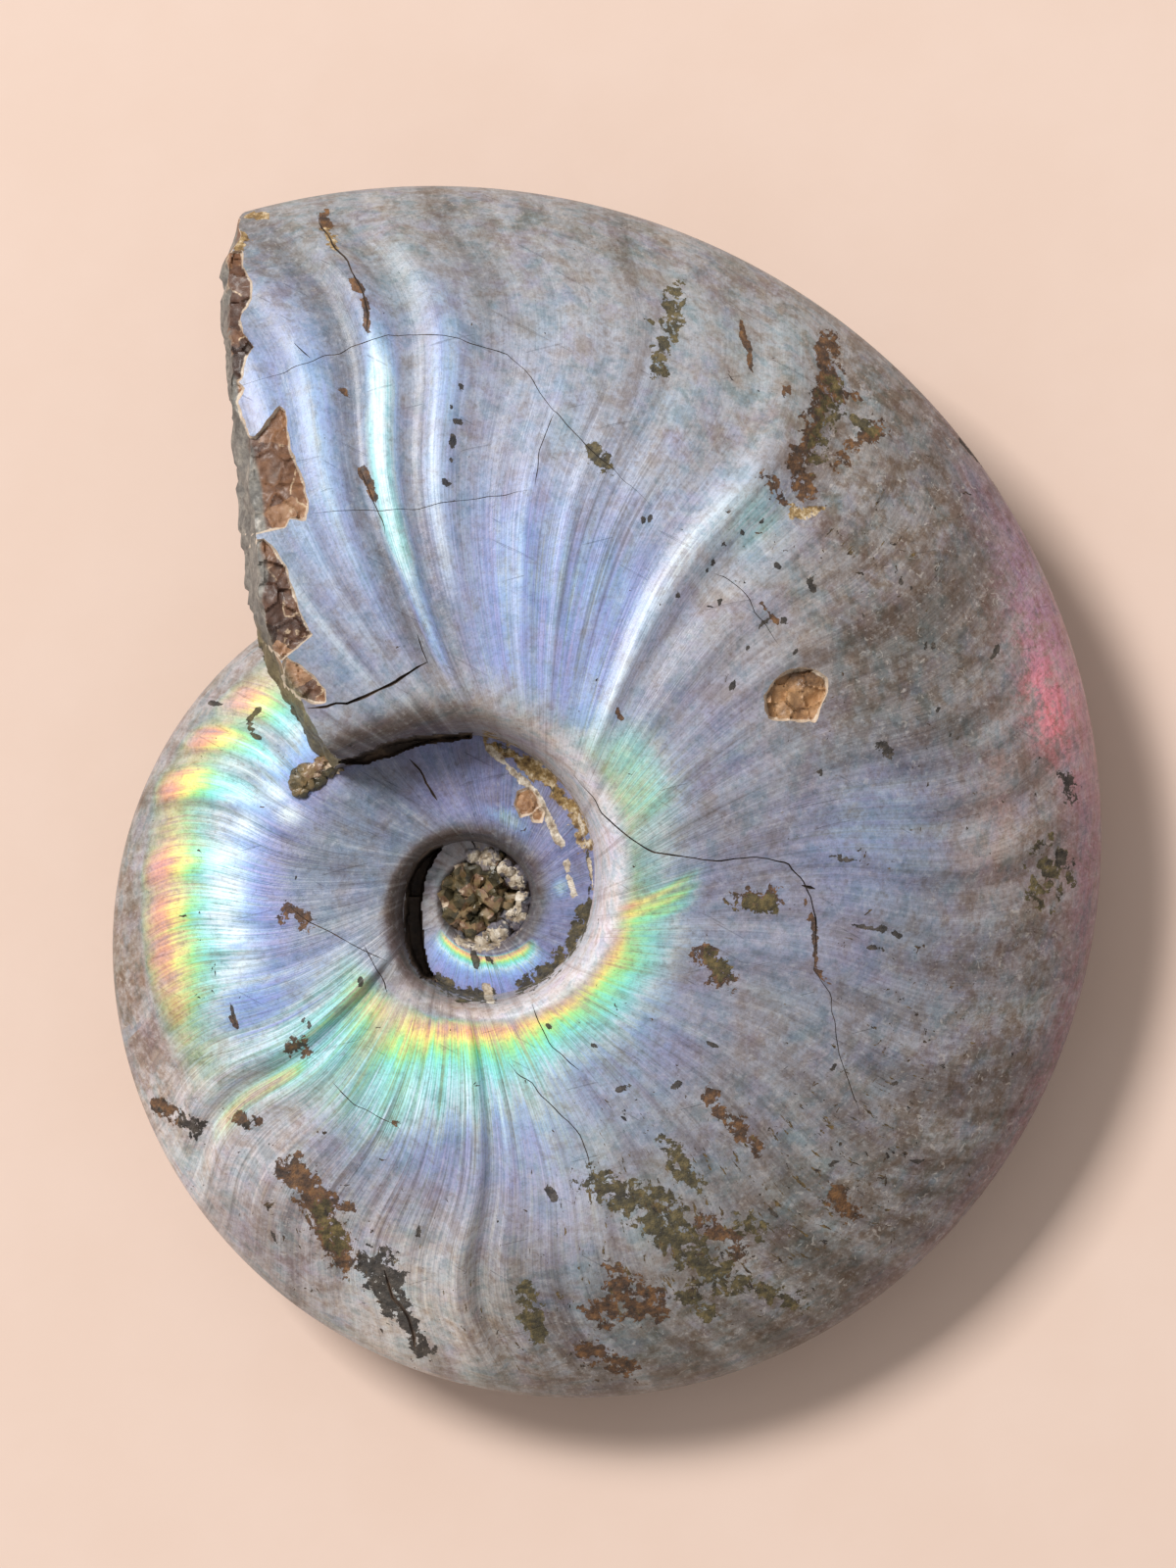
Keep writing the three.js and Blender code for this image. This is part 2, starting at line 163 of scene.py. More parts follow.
def rib_crest(angle, t):
    """Rib height; most ribs fade toward the umbilicus, the long ones run nearly all the way down."""
    line = angle + growth_lag(t)
    long_reach, early_reach, reach = smooth(0, 0.2, t), smooth(0.3, 0.66, t), smooth(0.05, 0.5, t)
    h = np.zeros_like(line)
    for at, rise, width in RIBS:
        fade = long_reach if at in LONG_RIBS else early_reach if at < EARLY_RIBS_UNTIL else reach
        h += rise * bump(line, at, width) * fade
    return h * (1 - smooth(0.86, 1, t))


def rib_height(angle, t):
    line, across = angle + growth_lag(t), t * 14
    fine = 0.055 * noise2(line, across * 0.12, 1.1, 3) + 0.035 * noise2(line, across * 0.2, 0.55, 4)
    broad = 0.10 * noise2(line, across, 5.0, 5)
    return rib_crest(angle, t) + (fine + broad) * smooth(0.03, 0.2, t) * (1 - smooth(0.9, 1, t))


def surface_height(angle, t):
    edge, seam = edge_radius(angle), seam_radius(angle)
    half = HALF_THICKNESS * edge
    dome = np.power(np.clip(1 - np.power(np.clip(t, 0, 1), FLANK_POWER), 0, 1), FLANK_ROUND)
    flank = half * dome + rib_height(angle, t)
    q = np.clip(t * (edge - seam) / (WALL_WIDTH * edge), 0, 1)
    climb = np.power(1 - np.power(1 - q, WALL_ROUND), 1 / WALL_ROUND)
    foot = SEAM_HEIGHT * half
    return foot + (flank - foot) * climb


def placed(angle, t, height):
    seam = seam_radius(angle)
    r = seam + (edge_radius(angle) - seam) * t
    return np.stack([r * np.cos(angle * RAD), r * np.sin(angle * RAD), height], -1)


def share_across(angle, r):
    seam = seam_radius(angle)
    return (r - seam) / (edge_radius(angle) - seam)


def unwrap(x, y, inside=False):
    """Coil angle and share across the flank, on the last turn or the one inside it."""
    theta = np.degrees(np.arctan2(y, x))
    theta = theta - 360 if inside else np.where(theta < -178, theta + 360, theta)
    return theta, share_across(theta, np.hypot(x, y))


def top_height(x, y, inside=False):
    theta, t = unwrap(x, y, inside)
    return surface_height(theta, np.clip(t, 0, 0.999))


def traced(points):
    """Coil millimetres from tenths of a millimetre, read with their origin left of and above the coil."""
    return (np.reshape(points, (-1, 2)) - (497, 915)) / (10, -10)


def distance(points, x, y, closed=False):
    """Distance to a line, or to a closed outline, positive inside."""
    best, inside = np.full(np.shape(x), 1e9), np.zeros(np.shape(x), bool)
    for (ax, ay), (bx, by) in zip(points, np.roll(points, -1, 0) if closed else points[1:]):
        ux, uy = bx - ax, by - ay
        k = np.clip(((x - ax) * ux + (y - ay) * uy) / (ux * ux + uy * uy + (0 if closed else 1e-9)), 0, 1)
        best = np.minimum(best, np.hypot(x - ax - k * ux, y - ay - k * uy))
        if closed:
            inside ^= ((ay > y) != (by > y)) & (x < (bx - ax) * (y - ay) / (by - ay + 1e-12) + ax)
    return np.where(inside, best, -best) if closed else best


def cells(x, y, size, seed):
    """For the nearest jittered cell: its random value, how far its border is, and a slope across it."""
    qx, qy = x / size, y / size
    best, second = np.full(np.shape(x), 9.0), np.full(np.shape(x), 9.0)
    value, slope = np.zeros(np.shape(x)), np.zeros(np.shape(x))
    for dx in (-1, 0, 1):
        for dy in (-1, 0, 1):
            cell = np.floor(qx) + dx, np.floor(qy) + dy
            random = [hashed(seed + i, *cell) for i in range(5)]
            ox, oy = qx - (cell[0] + 0.5 + 0.42 * random[0]), qy - (cell[1] + 0.5 + 0.42 * random[1])
            d = np.hypot(ox, oy)
            near = d < best
            second = np.where(near, best, np.minimum(second, d))
            best = np.where(near, d, best)
            value = np.where(near, random[2], value)
            slope = np.where(near, ox * random[3] + oy * random[4], slope)
    return value, second - best, slope


# meshes
# The last slot is the dark fill of the cracks, which also lines the gaps between turns as painted shade.
OUTER, INNER, BROKEN, CRYSTAL, CRACK_AND_GAP_SHADE = range(5)
SLOTS = [bpy.data.materials.new(n) for n in
         ("nacre_last_whorl", "nacre_inner_whorls", "calcite_and_matrix", "core_crystals", "crack_filling")]


def link(name, data):
    obj = bpy.data.objects.new(name, data)
    bpy.context.scene.collection.objects.link(obj)
    return obj


def make_object(name, points, faces, index=0, matrix=M_ROW):
    mesh = bpy.data.meshes.new(name)
    sizes = np.array([len(f) for f in faces])
    loops = np.concatenate([np.asarray(f) for f in faces])
    mesh.vertices.add(len(points))
    mesh.vertices.foreach_set("co", np.asarray(moved(points, matrix), np.float32).ravel())
    mesh.loops.add(len(loops))
    mesh.loops.foreach_set("vertex_index", loops.astype(np.int32))
    mesh.polygons.add(len(sizes))
    mesh.polygons.foreach_set("loop_start", np.concatenate([[0], np.cumsum(sizes)[:-1]]).astype(np.int32))
    mesh.polygons.foreach_set("material_index", np.full(len(sizes), index, np.int32))
    mesh.update(calc_edges=True)
    for m in SLOTS:
        mesh.materials.append(m)
    return link(name, mesh)


def boolean(obj, other, operation):
    mod = obj.modifiers.new("join", "BOOLEAN")
    mod.operation, mod.solver, mod.object = operation, "MANIFOLD", other
    mod.material_mode = "INDEX"
    dg = bpy.context.evaluated_depsgraph_get()
    made = bpy.data.meshes.new_from_object(obj.evaluated_get(dg), depsgraph=dg)
    obj.modifiers.clear()
    old, gone = obj.data, other.data
    obj.data = made
    bpy.data.objects.remove(other)
    for mesh in (old, gone):
        bpy.data.meshes.remove(mesh)


STEP = 0.66
UP = ((14, 82))
DOWN = ((7, 22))


def shares(line, n_wall, n_flank):
    edge = edge_radius(line)
    wall = WALL_WIDTH * edge / (edge - seam_radius(line))
    q = np.linspace(0, 1, n_wall, endpoint=False) ** 1.7
    u = np.linspace(0, 1, n_flank, endpoint=False)
    return np.concatenate([q * wall, wall + (1 - wall) * (1 - (1 - u) ** 1.5)])


def whorl(name, lines, index, goes_on=True):
    """Closed tube of one turn, of rings along its growth lines; one that goes on is drawn in at its end."""
    rings, chains = [], []
    for line in [*lines, lines[-1] + 4] if goes_on else lines:
        up, down, tip = shares(line, *UP), shares(line, *DOWN), np.array([1.0])
        a_up, a_down, a_tip = (line - growth_lag(t) for t in (up, down, tip))
        top = placed(a_up, up, surface_height(a_up, up))
        low = placed(a_down, down, -surface_height(a_down, down))
        rings.append(np.concatenate([top, placed(a_tip, tip, np.array([0.0])), low[::-1]]))
        chains.append((up, down))
    if goes_on:
        rings[-1] = rings[-1] + (rings[-1].mean(0) - rings[-1]) * 0.3
    count = len(rings[0])
    i, j = np.meshgrid(np.arange(len(rings) - 1), np.arange(count), indexing="ij")
    a, b = (i * count + j).ravel(), (i * count + (j + 1) % count).ravel()
    faces = list(np.stack([a, b, b + count, a + count], 1))
    for (up, down), base, turned in ((chains[0], 0, 1), (chains[-1], (len(rings) - 1) * count, -1)):
        u, v = 0, 0
        while u < len(up) - 1 or v < len(down) - 1:
            next_up = up[u + 1] if u < len(up) - 1 else 9
            next_down = down[v + 1] if v < len(down) - 1 else 9
            if next_up <= next_down:
                tri = (u, count - 1 - v, u + 1)
                u += 1
            else:
                tri = (u, count - 1 - v, count - 2 - v)
                v += 1
            faces.append(np.array(tri[::turned]) + base)
        faces.append(np.array((u, count - 1 - v, len(up))[::turned]) + base)
    return make_object(name, np.concatenate(rings), faces, index)


def block(name, near, far, index, turned=False):
    """Closed block between two grids of points."""
    n, m = near.shape[:2]
    a = np.arange(n * m).reshape(n, m)
    b = a + n * m
    faces = np.concatenate([np.stack([c.ravel() for c in corners], 1) for corners in (
        (a[:-1, :-1], a[:-1, 1:], a[1:, 1:], a[1:, :-1]), (b[:-1, :-1], b[1:, :-1], b[1:, 1:], b[:-1, 1:]),
        (a[:-1, 0], a[1:, 0], b[1:, 0], b[:-1, 0]), (a[:-1, -1], b[:-1, -1], b[1:, -1], a[1:, -1]),
        (a[0, :-1], b[0, :-1], b[0, 1:], a[0, 1:]), (a[-1, :-1], a[-1, 1:], b[-1, 1:], b[-1, :-1]))])
    points = np.concatenate([near.reshape(-1, 3), far.reshape(-1, 3)])
    return make_object(name, points, faces[:, [0, 3, 2, 1]] if turned else faces, index)


def break_block():
    """What is broken away in front of the aperture."""
    n, levels = ((150, 60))
    t, lift = np.meshgrid(np.linspace(-0.25, 1.15, n), np.linspace(-1.4, 1.4, levels), indexing="ij")
    angle = along(BREAK_CURVE, t)
    height = lift * HALF_THICKNESS * edge_radius(angle)
    flat = placed(angle - np.where(lift > 0, 3.0, 1.8) * lift * lift, t, height).reshape(-1, 3)
    rough = 0.75 * noise3(flat, 4.5, 11) + 0.55 * noise3(flat, 1.9, 12) + 0.28 * noise3(flat, 0.8, 13)
    forward = np.stack([-flat[:, 1], flat[:, 0], 0 * flat[:, 0]], 1)
    forward /= np.linalg.norm(forward, axis=1)[:, None]
    near = (flat + forward * rough[:, None]).reshape(n, levels, 3)
    return block("break_block", near, placed(np.full_like(t, 174.0), t * 1.45, height), BROKEN, True)


def grid_over(outline, pitch, pad):
    lo, hi = outline.min(0) - pad, outline.max(0) + pad
    return np.meshgrid(np.arange(lo[0], hi[0], pitch), np.arange(lo[1], hi[1], pitch), indexing="ij")


def height_block(name, x, y, low, index):
    """Block over a grid, from a shaped underside up to clear above the shell."""
    return block(name, np.stack([x, y, low], -1), np.stack([x, y, np.full(x.shape, 26.0)], -1), index)


# Where the pearly layer is flaked off down to crystals: depth in millimetres, crystal size, outline.
CHIPS = rows("""
    .75 2.6 222 262 250 262 252 278 262 295 262 314 254 325 251 336 255 350 266 363 258 374 255 392 250 399 256
    405 250 418 254 432 257 442 262 452 268 455 275 445 283 435 292 424 299 428 301 450 304 470 311 484 316 500
    321 520 319 538 304 537 300 546 285 549 270 552 225 545 205 400; .8 2.2 278 556 286 564 300 584 304 600 311
    620 318 636 326 652 316 661 305 671 296 676 250 640 240 580 262 560; .5 1.5 300 674 313 682 326 692 340 706
    341 719 330 720 314 715 296 702; .95 1.6 775 712 786 696 800 686 822 684 838 694 839 708 832 724 826 738
    806 737 780 734; .35 .8 526 820 530 808 541 803 548 812 552 822 545 830 531 835; .3 .8 541 832 549 822 556
    828 553 839 544 838
""")
INSIDE_CHIPS = (4, 5)
# Deep shadowed gaps between neighbouring turns, cut in and lined with the dark fill as painted shade: depth, outline.
GAPS = rows("""
    3.2 454 861 440 866 425 880 416 904 413 930 415 956 421 980 432 994 447 999 440 986 435 968 432 946 431 925
    433 905 438 888 447 873; 1.6 352 778 372 781 400 773 425 763 450 758 482 755 484 749 450 751 425 753 398
    760 372 771
""")
# Cracks: width and depth in millimetres, line. The last is on the turn inside.
CRACKS = rows("""
    .28 .5 322 724 340 723 362 721 382 711 402 701 424 690 441 681; .12 .2 441 681 436 668 430 652; .075 .1 322
    531 352 529 392 528 432 526 452 522 494 517 540 509; .08 .1 252 402 292 390 330 375 372 362 402 350 430 352
    470 354 500 364 520 372 545 395 566 428 600 462 622 482 640 500 662 522; .14 .25 585 792 602 812 622 838
    645 857 668 870 700 873 730 876 766 874 800 878 812 895 822 912 827 935 829 960 824 985; .09 .15 824 985
    842 1012 846 1040 852 1072 862 1100 872 1132; .1 .15 545 1020 553 1042 562 1062 578 1076 592 1087; .09 .12
    520 1080 542 1098 562 1122 580 1138 592 1152 600 1174 606 1196; .18 .2 324 222 334 240 344 258 358 276 366
    292 374 308 379 330 380 352; .1 .12 374 488 380 500 386 512 392 530 399 552; .1 .2 305 360 322 374; .1 .15
    300 925 318 938 340 948 366 962 398 978; .12 .2 400 1010 388 984 376 962; .09 .15 344 1100 368 1122 404
    1140; .38 .4 395 1290 404 1318 420 1340 424 1372; .08 .1 725 588 752 606 776 640 790 662; .1 .2 566 428 552
    470 548 505; .3 .3 812 900 826 905; .22 .25 421 776 432 790 441 802 449 816
""")


def chip_cutter(k, depth, size, *outline):
    outline = traced(outline)
    x, y = grid_over(outline, 0.17, 0.8)
    d = distance(outline, x, y, True) + noise2(x, y, 0.9, 31) * 0.16
    value, border, tilt = cells(x, y, size, 40 + k)
    rough = depth * (1 + 0.38 * value + 0.55 * tilt) + 0.12 * noise2(x, y, 0.5, 33)
    rough = rough - 0.22 * depth * smooth(0.14, 0.0, border)
    drop = smooth(-0.09, 0.13, d) * np.maximum(rough, 0.18) - 0.35 * (1 - smooth(-0.3, -0.02, d))
    return height_block("chip_%d" % k, x, y, top_height(x, y, k in INSIDE_CHIPS) - drop, BROKEN)


def gap_cutter(k, depth, *outline):
    outline = traced(outline)
    x, y = grid_over(outline, 0.16, 0.6)
    d = distance(outline, x, y, True) + 0.12 * noise2(x, y, 0.8, 34)
    low = top_height(x, y, True) - depth * smooth(-0.02, 0.34, d)
    # The gap's faces take the dark fill: painted shade.
    return height_block("gap_%d" % k, x, y, np.where(d > -0.12, low, 24.0), CRACK_AND_GAP_SHADE)


def crack_cutter(k, inside, width, depth, *line):
    line = traced(line)
    seg = np.hypot(*np.diff(line, axis=0).T)
    total = seg.sum()
    n = max(4, int(total / 0.55))
    u = np.linspace(0, total, n)
    s = np.concatenate([[0], np.cumsum(seg)])
    x, y = (np.interp(u, s, line[:, i]) + 0.2 * noise2(u, 0 * u + k, 1.5, 51 + i) for i in (0, 1))
    dx, dy = np.gradient(x), np.gradient(y)
    long = np.hypot(dx, dy)
    taper = np.clip(np.minimum(u, total - u) / (0.12 * total), 0.25, 1)
    half = 0.5 * width * taper * (1 + 0.35 * noise2(u, 0 * u + k, 1.1, 53))
    z = top_height(x, y, inside)
    sx, sy = -dy / long, dx / long
    rings = [np.stack([x + side * half * sx, y + side * half * sy, z + rise], 1)
             for side, rise in ((-1, 0.5), (-1, -0.02), (0, -depth * taper), (1, -0.02), (1, 0.5))]
    faces = [np.array([a, b, b + 5, a + 5]) for i in range(n - 1)
             for a, b in ((i * 5 + j, i * 5 + (j + 1) % 5) for j in range(5))]
    faces += [np.arange(4, -1, -1), np.arange(5) + (n - 1) * 5]
    return make_object("crack_%d" % k, np.stack(rings, 1).reshape(-1, 3), faces, CRACK_AND_GAP_SHADE)


def lump(name, centre, size, seed, crystal, index, boxy=1.0):
    """Closed rough lump with crystal-like flats."""
    n, m = (34, 54) if boxy < 1 else (22, 34)
    share = np.linspace(-1, 1, n + 2)[1:-1]
    from_pole = 0.5 * math.pi * (1 - np.abs(share)) ** (1 / boxy)
    v, u = np.meshgrid(np.where(share < 0, from_pole, math.pi - from_pole),
                       np.linspace(0, 2 * math.pi, m, endpoint=False), indexing="ij")
    d = np.stack([np.sin(v) * np.cos(u), np.sin(v) * np.sin(u), np.cos(v)], -1).reshape(-1, 3)
    d = np.concatenate([d, [[0, 0, 1], [0, 0, -1]]])
    d[:, :2] *= (np.maximum(np.hypot(d[:, 0], d[:, 1]), 1e-6) ** (boxy - 1))[:, None]
    d[:, 2] = np.sign(d[:, 2]) * np.abs(d[:, 2]) ** boxy
    p = d * np.array(size)
    value, border, tilt = cells(p[:, 0] + 0.4 * p[:, 2], p[:, 1] - 0.3 * p[:, 2], crystal, seed)
    grow = 1 + 0.16 * value + 0.22 * tilt - 0.1 * smooth(0.2, 0, border) + 0.05 * noise3(p, 0.5, seed)
    after = [(j + 1) % m for j in range(m)]
    faces = [np.array([i * m + j, (i + 1) * m + j, (i + 1) * m + after[j], i * m + after[j]])
             for i in range(n - 1) for j in range(m)]
    for j in range(m):
        faces.append(np.array([n * m, j, after[j]]))
        faces.append(np.array([n * m + 1, (n - 1) * m + after[j], (n - 1) * m + j]))
    return make_object(name, p * grow[:, None] + np.array(centre), faces, index)


shell = whorl("ammonite_shell", np.linspace(-160, 158, int(318 / STEP)), OUTER, False)
boolean(shell, break_block(), "DIFFERENCE")
middle = np.concatenate([np.linspace(-400, -224, int(176 / (STEP * 3.2)), endpoint=False),
                         np.linspace(-224, -160, int(64 / (STEP * 1.3)))])
boolean(shell, whorl("middle_whorl", middle, INNER), "UNION")
boolean(shell, whorl("inner_whorl", np.linspace(-640, -400, int(240 / (STEP * 3.6))), INNER), "UNION")
boolean(shell, lump("core", (*CORE_CENTRE, 0), (4.3, 4.4, 4.3), 60, 1.25, CRYSTAL, 0.5), "UNION")
for k, chip in enumerate(CHIPS):
    boolean(shell, chip_cutter(k, *chip), "DIFFERENCE")
for k, gap in enumerate(GAPS):
    boolean(shell, gap_cutter(k, *gap), "DIFFERENCE")
for k, crack in enumerate(CRACKS):
    inside = k == len(CRACKS) - 1
    boolean(shell, crack_cutter(50 if inside else k, inside, *crack), "DIFFERENCE")
# Crusts on the inner turns: place, three half sizes.
CRUSTS = rows("-17.9 12 2 1.5 1.1; -15.9 13.2 1.9 1.2 1.2; -18.6 10.8 1 .8 .6; .7 4.6 1.3 1 1.6")
for seed, (x, y, *size) in enumerate(CRUSTS, 70):
    z = float(top_height(np.array([x]), np.array([y]), True)[0])
    boolean(shell, lump("crust_%d" % seed, (x, y, z), size, seed, 0.9, CRYSTAL), "UNION")
# Pale crust round the core: bearing, half width, height of its middle.
RIM_CRUST = rows("""
    96 .8 3.7; 74 1.3 3.8; 46 .9 4; 27 1.35 3.8; -4 1.1 3.7; -26 1.4 3.7; -58 1.2 3.6; -88 1.3 3.5; -118 .9 3.3
""")
for k, (bearing, wide, z) in enumerate(RIM_CRUST):
    out = 4.35 + 0.3 * math.sin(5 * k)
    x, y = CORE_CENTRE[0] + out * math.cos(bearing * RAD), CORE_CENTRE[1] + out * math.sin(bearing * RAD)
    boolean(shell, lump("rim_%d" % k, (x, y, z), (wide, 0.8 * wide + 0.2, 0.7), 90 + k, 0.9, INNER), "UNION")
# Worn flat in the plane that it rests on.
slab = np.array([(x, y, z) for z in (-0.03, 0.0) for x, y in ((-0.1, -0.1), (0.1, -0.1), (0.1, 0.1), (-0.1, 0.1))])
slab_faces = [(0, 3, 2, 1), (4, 5, 6, 7), (0, 1, 5, 4), (1, 2, 6, 5), (2, 3, 7, 6), (3, 0, 4, 7)]
boolean(shell, make_object("worn_away", slab, slab_faces, OUTER, np.eye(4)), "DIFFERENCE")


# Rainbows: coil angle and strength, coil angle and share across the flank of the middle.
STRENGTH_A = rows("""
    -170 0; -152 .3; -135 .6; -115 .9; -100 1; -60 .95; -25 .85; -10 .6; 5 .3; 20 .2; 35 .34; 48 .22; 70 .06;
    90 0
""")
BAND_A = rows("""
    -160 .26; -140 .25; -125 .2; -112 .17; -105 .135; -80 .11; -60 .095; 0 .095; 30 .1; 60 .1
""")
STRENGTH_B = rows("""
    -250 0; -234 .5; -222 .8; -205 1; -178 1; -168 .8; -160 .42; -150 .18; -140 .05; -128 0
""")
BAND_B = rows("""
    -240 .8; -218 .78; -208 .8; -199 .82; -190 .78; -180 .755; -166 .725; -150 .7
""")
# Blown-out light on the previous turn: coil angle, share across, spread of both, strength.
GLOW_SPOTS = rows("""
    -206 .56 3.5 .05 .75; -197 .6 3 .06 .9; -190 .61 2 .08 .5; -183 .6 3.2 .06 1; -176 .61 3 .06 1; -168 .52
    1.8 .05 .35; -203 .49 2.6 .05 1; -172.5 .57 1.8 .06 1; -164.5 .55 1.8 .07 .9; -207.5 .75 4 .05 .5; -95 .25
    5 .06 .5; -111 .31 4 .07 .45; -187 .66 3 .05 .4
""")
# Blown-out light on ribs: growth line, half width, from and to share across, strength.
GLOW_RIBS = rows("""
    104.6 1 .3 .66 .85; 97.8 1.2 .26 .56 .5; 112.2 1.3 .3 .55 .2; 116.8 1.1 .15 .42 .26; 122.5 1.2 .1 .4 .3;
    86.5 .8 .1 .42 .3; 61 1.5 .12 .62 .66; 56.5 .9 .1 .3 .16; 78 .9 .1 .3 .22
""")


def curve(table, v):
    x, y = np.transpose(table)
    return np.interp(v, x, y)


def spot(angle, t, at_angle, at_t, wide_angle, wide_t):
    return np.exp(-(((angle - at_angle) / wide_angle) ** 2) - ((t - at_t) / wide_t) ** 2)


def window(angle, low, high, soft):
    return between(angle, low - soft, low + soft, high - soft, high + soft)


def film(angle, t, top):
    """Phase along the film's colours, how vivid it is, and blown-out glow."""
    crest, line = rib_crest(angle, t), angle + growth_lag(t)
    weight = np.full_like(t, 0.25)
    phase, vivid, glow = 0.84 * weight, np.zeros_like(t), np.zeros_like(t)

    def put(p, v, push=3.0):
        nonlocal weight, phase, vivid
        phase = phase + push * v * p
        weight = weight + push * v
        vivid = 1 - (1 - vivid) * (1 - np.clip(v, 0, 1))

    def put_spot(p, strength, *place):
        put(p, strength * spot(angle, t, *place))

    # Rainbow round the umbilicus.
    u = t / curve(BAND_A, angle)
    p = curve(rows(".5 .02; .75 .08; .88 .16; 1 .24; 1.35 .33; 2.2 .43; 3.2 .62; 4.5 .74; 7 .88"), u)
    v = curve(rows(".45 0; .72 .75; .85 .95; 1.3 .92; 1.9 .56; 2.7 .28; 4 .12; 6 .05; 9 0"), u)
    tail = 0.35 + 0.65 * window(angle, -170, -72, 10)
    v = np.where(u > 1.3, v * (tail + (1 - tail) * np.clip(1 - (u - 1.3) / 1.2, 0, 1)), v)
    put(p, v * curve(STRENGTH_A, angle) * (0.8 + 0.35 * smooth(-0.2, 0.3, crest)))
    # Rainbow down the outer side of the previous turn.
    d = t - curve(BAND_B, angle) + 0.80
    p = curve(rows(".3 .95; .42 .8; .52 .66; .62 .53; .71 .43; .76 .33; .8 .24; .84 .16; .87 .08; .92 0"), d)
    v = curve(rows(".08 .05; .25 .15; .4 .36; .5 .62; .6 .9; .84 .92; .875 .7; .92 .3; .96 0"), d)
    furrow = smooth(0.58, 0.66, t) * (1 - smooth(-180, -168, angle))
    ridge = 1 - (1 - smooth(-0.10, 0.26, crest)) * (0.10 + 0.55 * furrow)
    put(p, v * curve(STRENGTH_B, angle) * ridge, 4.0)
    for *place, strength in GLOW_SPOTS:
        glow = np.maximum(glow, strength * spot(angle, t, *place))
    # Green and cream on the shoulder between the two rainbows.
    put(0.36, 0.40 * window(angle, -150, -134, 5) * spot(angle, t, -142, 0.45, 14, 0.14))
    put(0.13, 0.30 * bump(line, -136.5, 1.3) * window(t * 100, 48, 80, 6), 9.0)
    put(0.42, 0.238 * window(angle, -138, -108, 6) * bump(t, 0.34, 0.12))
    put(0.20, 0.75 * spot(angle, t, -122, 0.21, 5, 0.045) + 0.6 * spot(angle, t, -112, 0.16, 5, 0.03))
    put_spot(0.78, 0.55, -155, 0.52, 5, 0.12)
    # Streaks under the coil.
    put(0.48 + 0.25 * smooth(0.25, 0.5, t), 0.26 * window(angle, -108, -72, 8) * between(t, 0.12, 0.2, 0.42, 0.7))
    put(0.80, 0.14 * window(angle, -84, -66, 6) * spot(angle, t, -76, 0.55, 20, 0.16))
    put_spot(0.52, 0.55, -111, 0.31, 4, 0.07)
    put(0.64, 0.20 * window(angle, -70, -30, 14) * bump(t, 0.26, 0.12))
    # Blue bands of the youngest ribs.
    young = window(angle, 84, 130, 5) * between(t, 0.05, 0.16, 0.62, 0.9)
    put(0.64 - 0.10 * np.clip(crest, -0.4, 0.9), young * (0.06 + 0.40 * smooth(-0.15, 0.6, crest)))
    put(0.46, 0.8 * bump(line, 104.4, 1.15) * between(t, 0.26, 0.36, 0.6, 0.75), 8.0)
    put(0.36, 0.45 * bump(line, 105.7, 0.6) * between(t, 0.3, 0.4, 0.5, 0.62), 8.0)
    for at, wide, low, high, strength in GLOW_RIBS:
        reach = between(t, low - 0.08, low + 0.08, high - 0.12, high + 0.12)
        glow = np.maximum(glow, strength * bump(line, at, wide) * reach)
    # Fan of fine blue streaks, and three rays across it.
    put(0.65, 0.52 * window(angle, 58, 92, 6) * between(t, 0.06, 0.14, 0.32, 0.56))
    put(0.30, 0.22 * window(angle, 26, 52, 6) * bump(t, 0.14, 0.05))
    ray = between(t, 0.03, 0.06, 0.15, 0.22)
    for p, strength, start, wide, push in rows(".24 .75 -12.1 1.5 5; .33 .5 -15.6 1.4 4; .12 .45 -8.6 1.4 4"):
        put(p, strength * bump(angle, start + 80.4 * t, wide) * ray, push)
    put(0.70, 0.14 * window(angle, 20, 60, 8) * bump(t, 0.3, 0.14))
    put(0.38, 0.16 * spot(angle, t, 10, 0.55, 9, 0.14) + 0.3 * spot(angle, t, 55, 0.6, 5, 0.08))
    put(0.76, 0.14 * window(angle, -16, 16, 8) * bump(t, 0.42, 0.22))
    # Older turns in the umbilicus.
    strong = window(angle, -498, -408, 10)
    u = t / 0.106
    p = curve(rows(".7 .06; .85 .14; 1 .24; 1.1 .33; 1.25 .43; 1.45 .55; 1.8 .66; 2.6 .73"), u)
    put(p, curve(rows(".68 0; .8 .8; 1.8 .85; 2.6 .5"), u) * strong, 8.0)
    old = between(angle, -520, -490, -250, -225)
    put(0.72, 0.32 * old * smooth(0.05, 0.12, t) * (1 - 0.7 * strong))
    put_spot(0.06, 0.25, -285, 0.12, 14, 0.03)
    put_spot(0.33, 0.35, -352, 0.13, 6, 0.03)
    vivid = vivid * (1 - 0.55 * spot(angle, t, -131, 0.66, 8, 0.15)) * (1 - 0.6 * spot(angle, t, -128, 0.18, 4, 0.2))
    # The underside is more faded.
    under = 1 - top
    vivid, glow = vivid * (1 - 0.45 * under), glow * (1 - 0.8 * under)
    return phase / weight, np.clip(vivid, 0, 1), np.clip(glow, 0, 1)


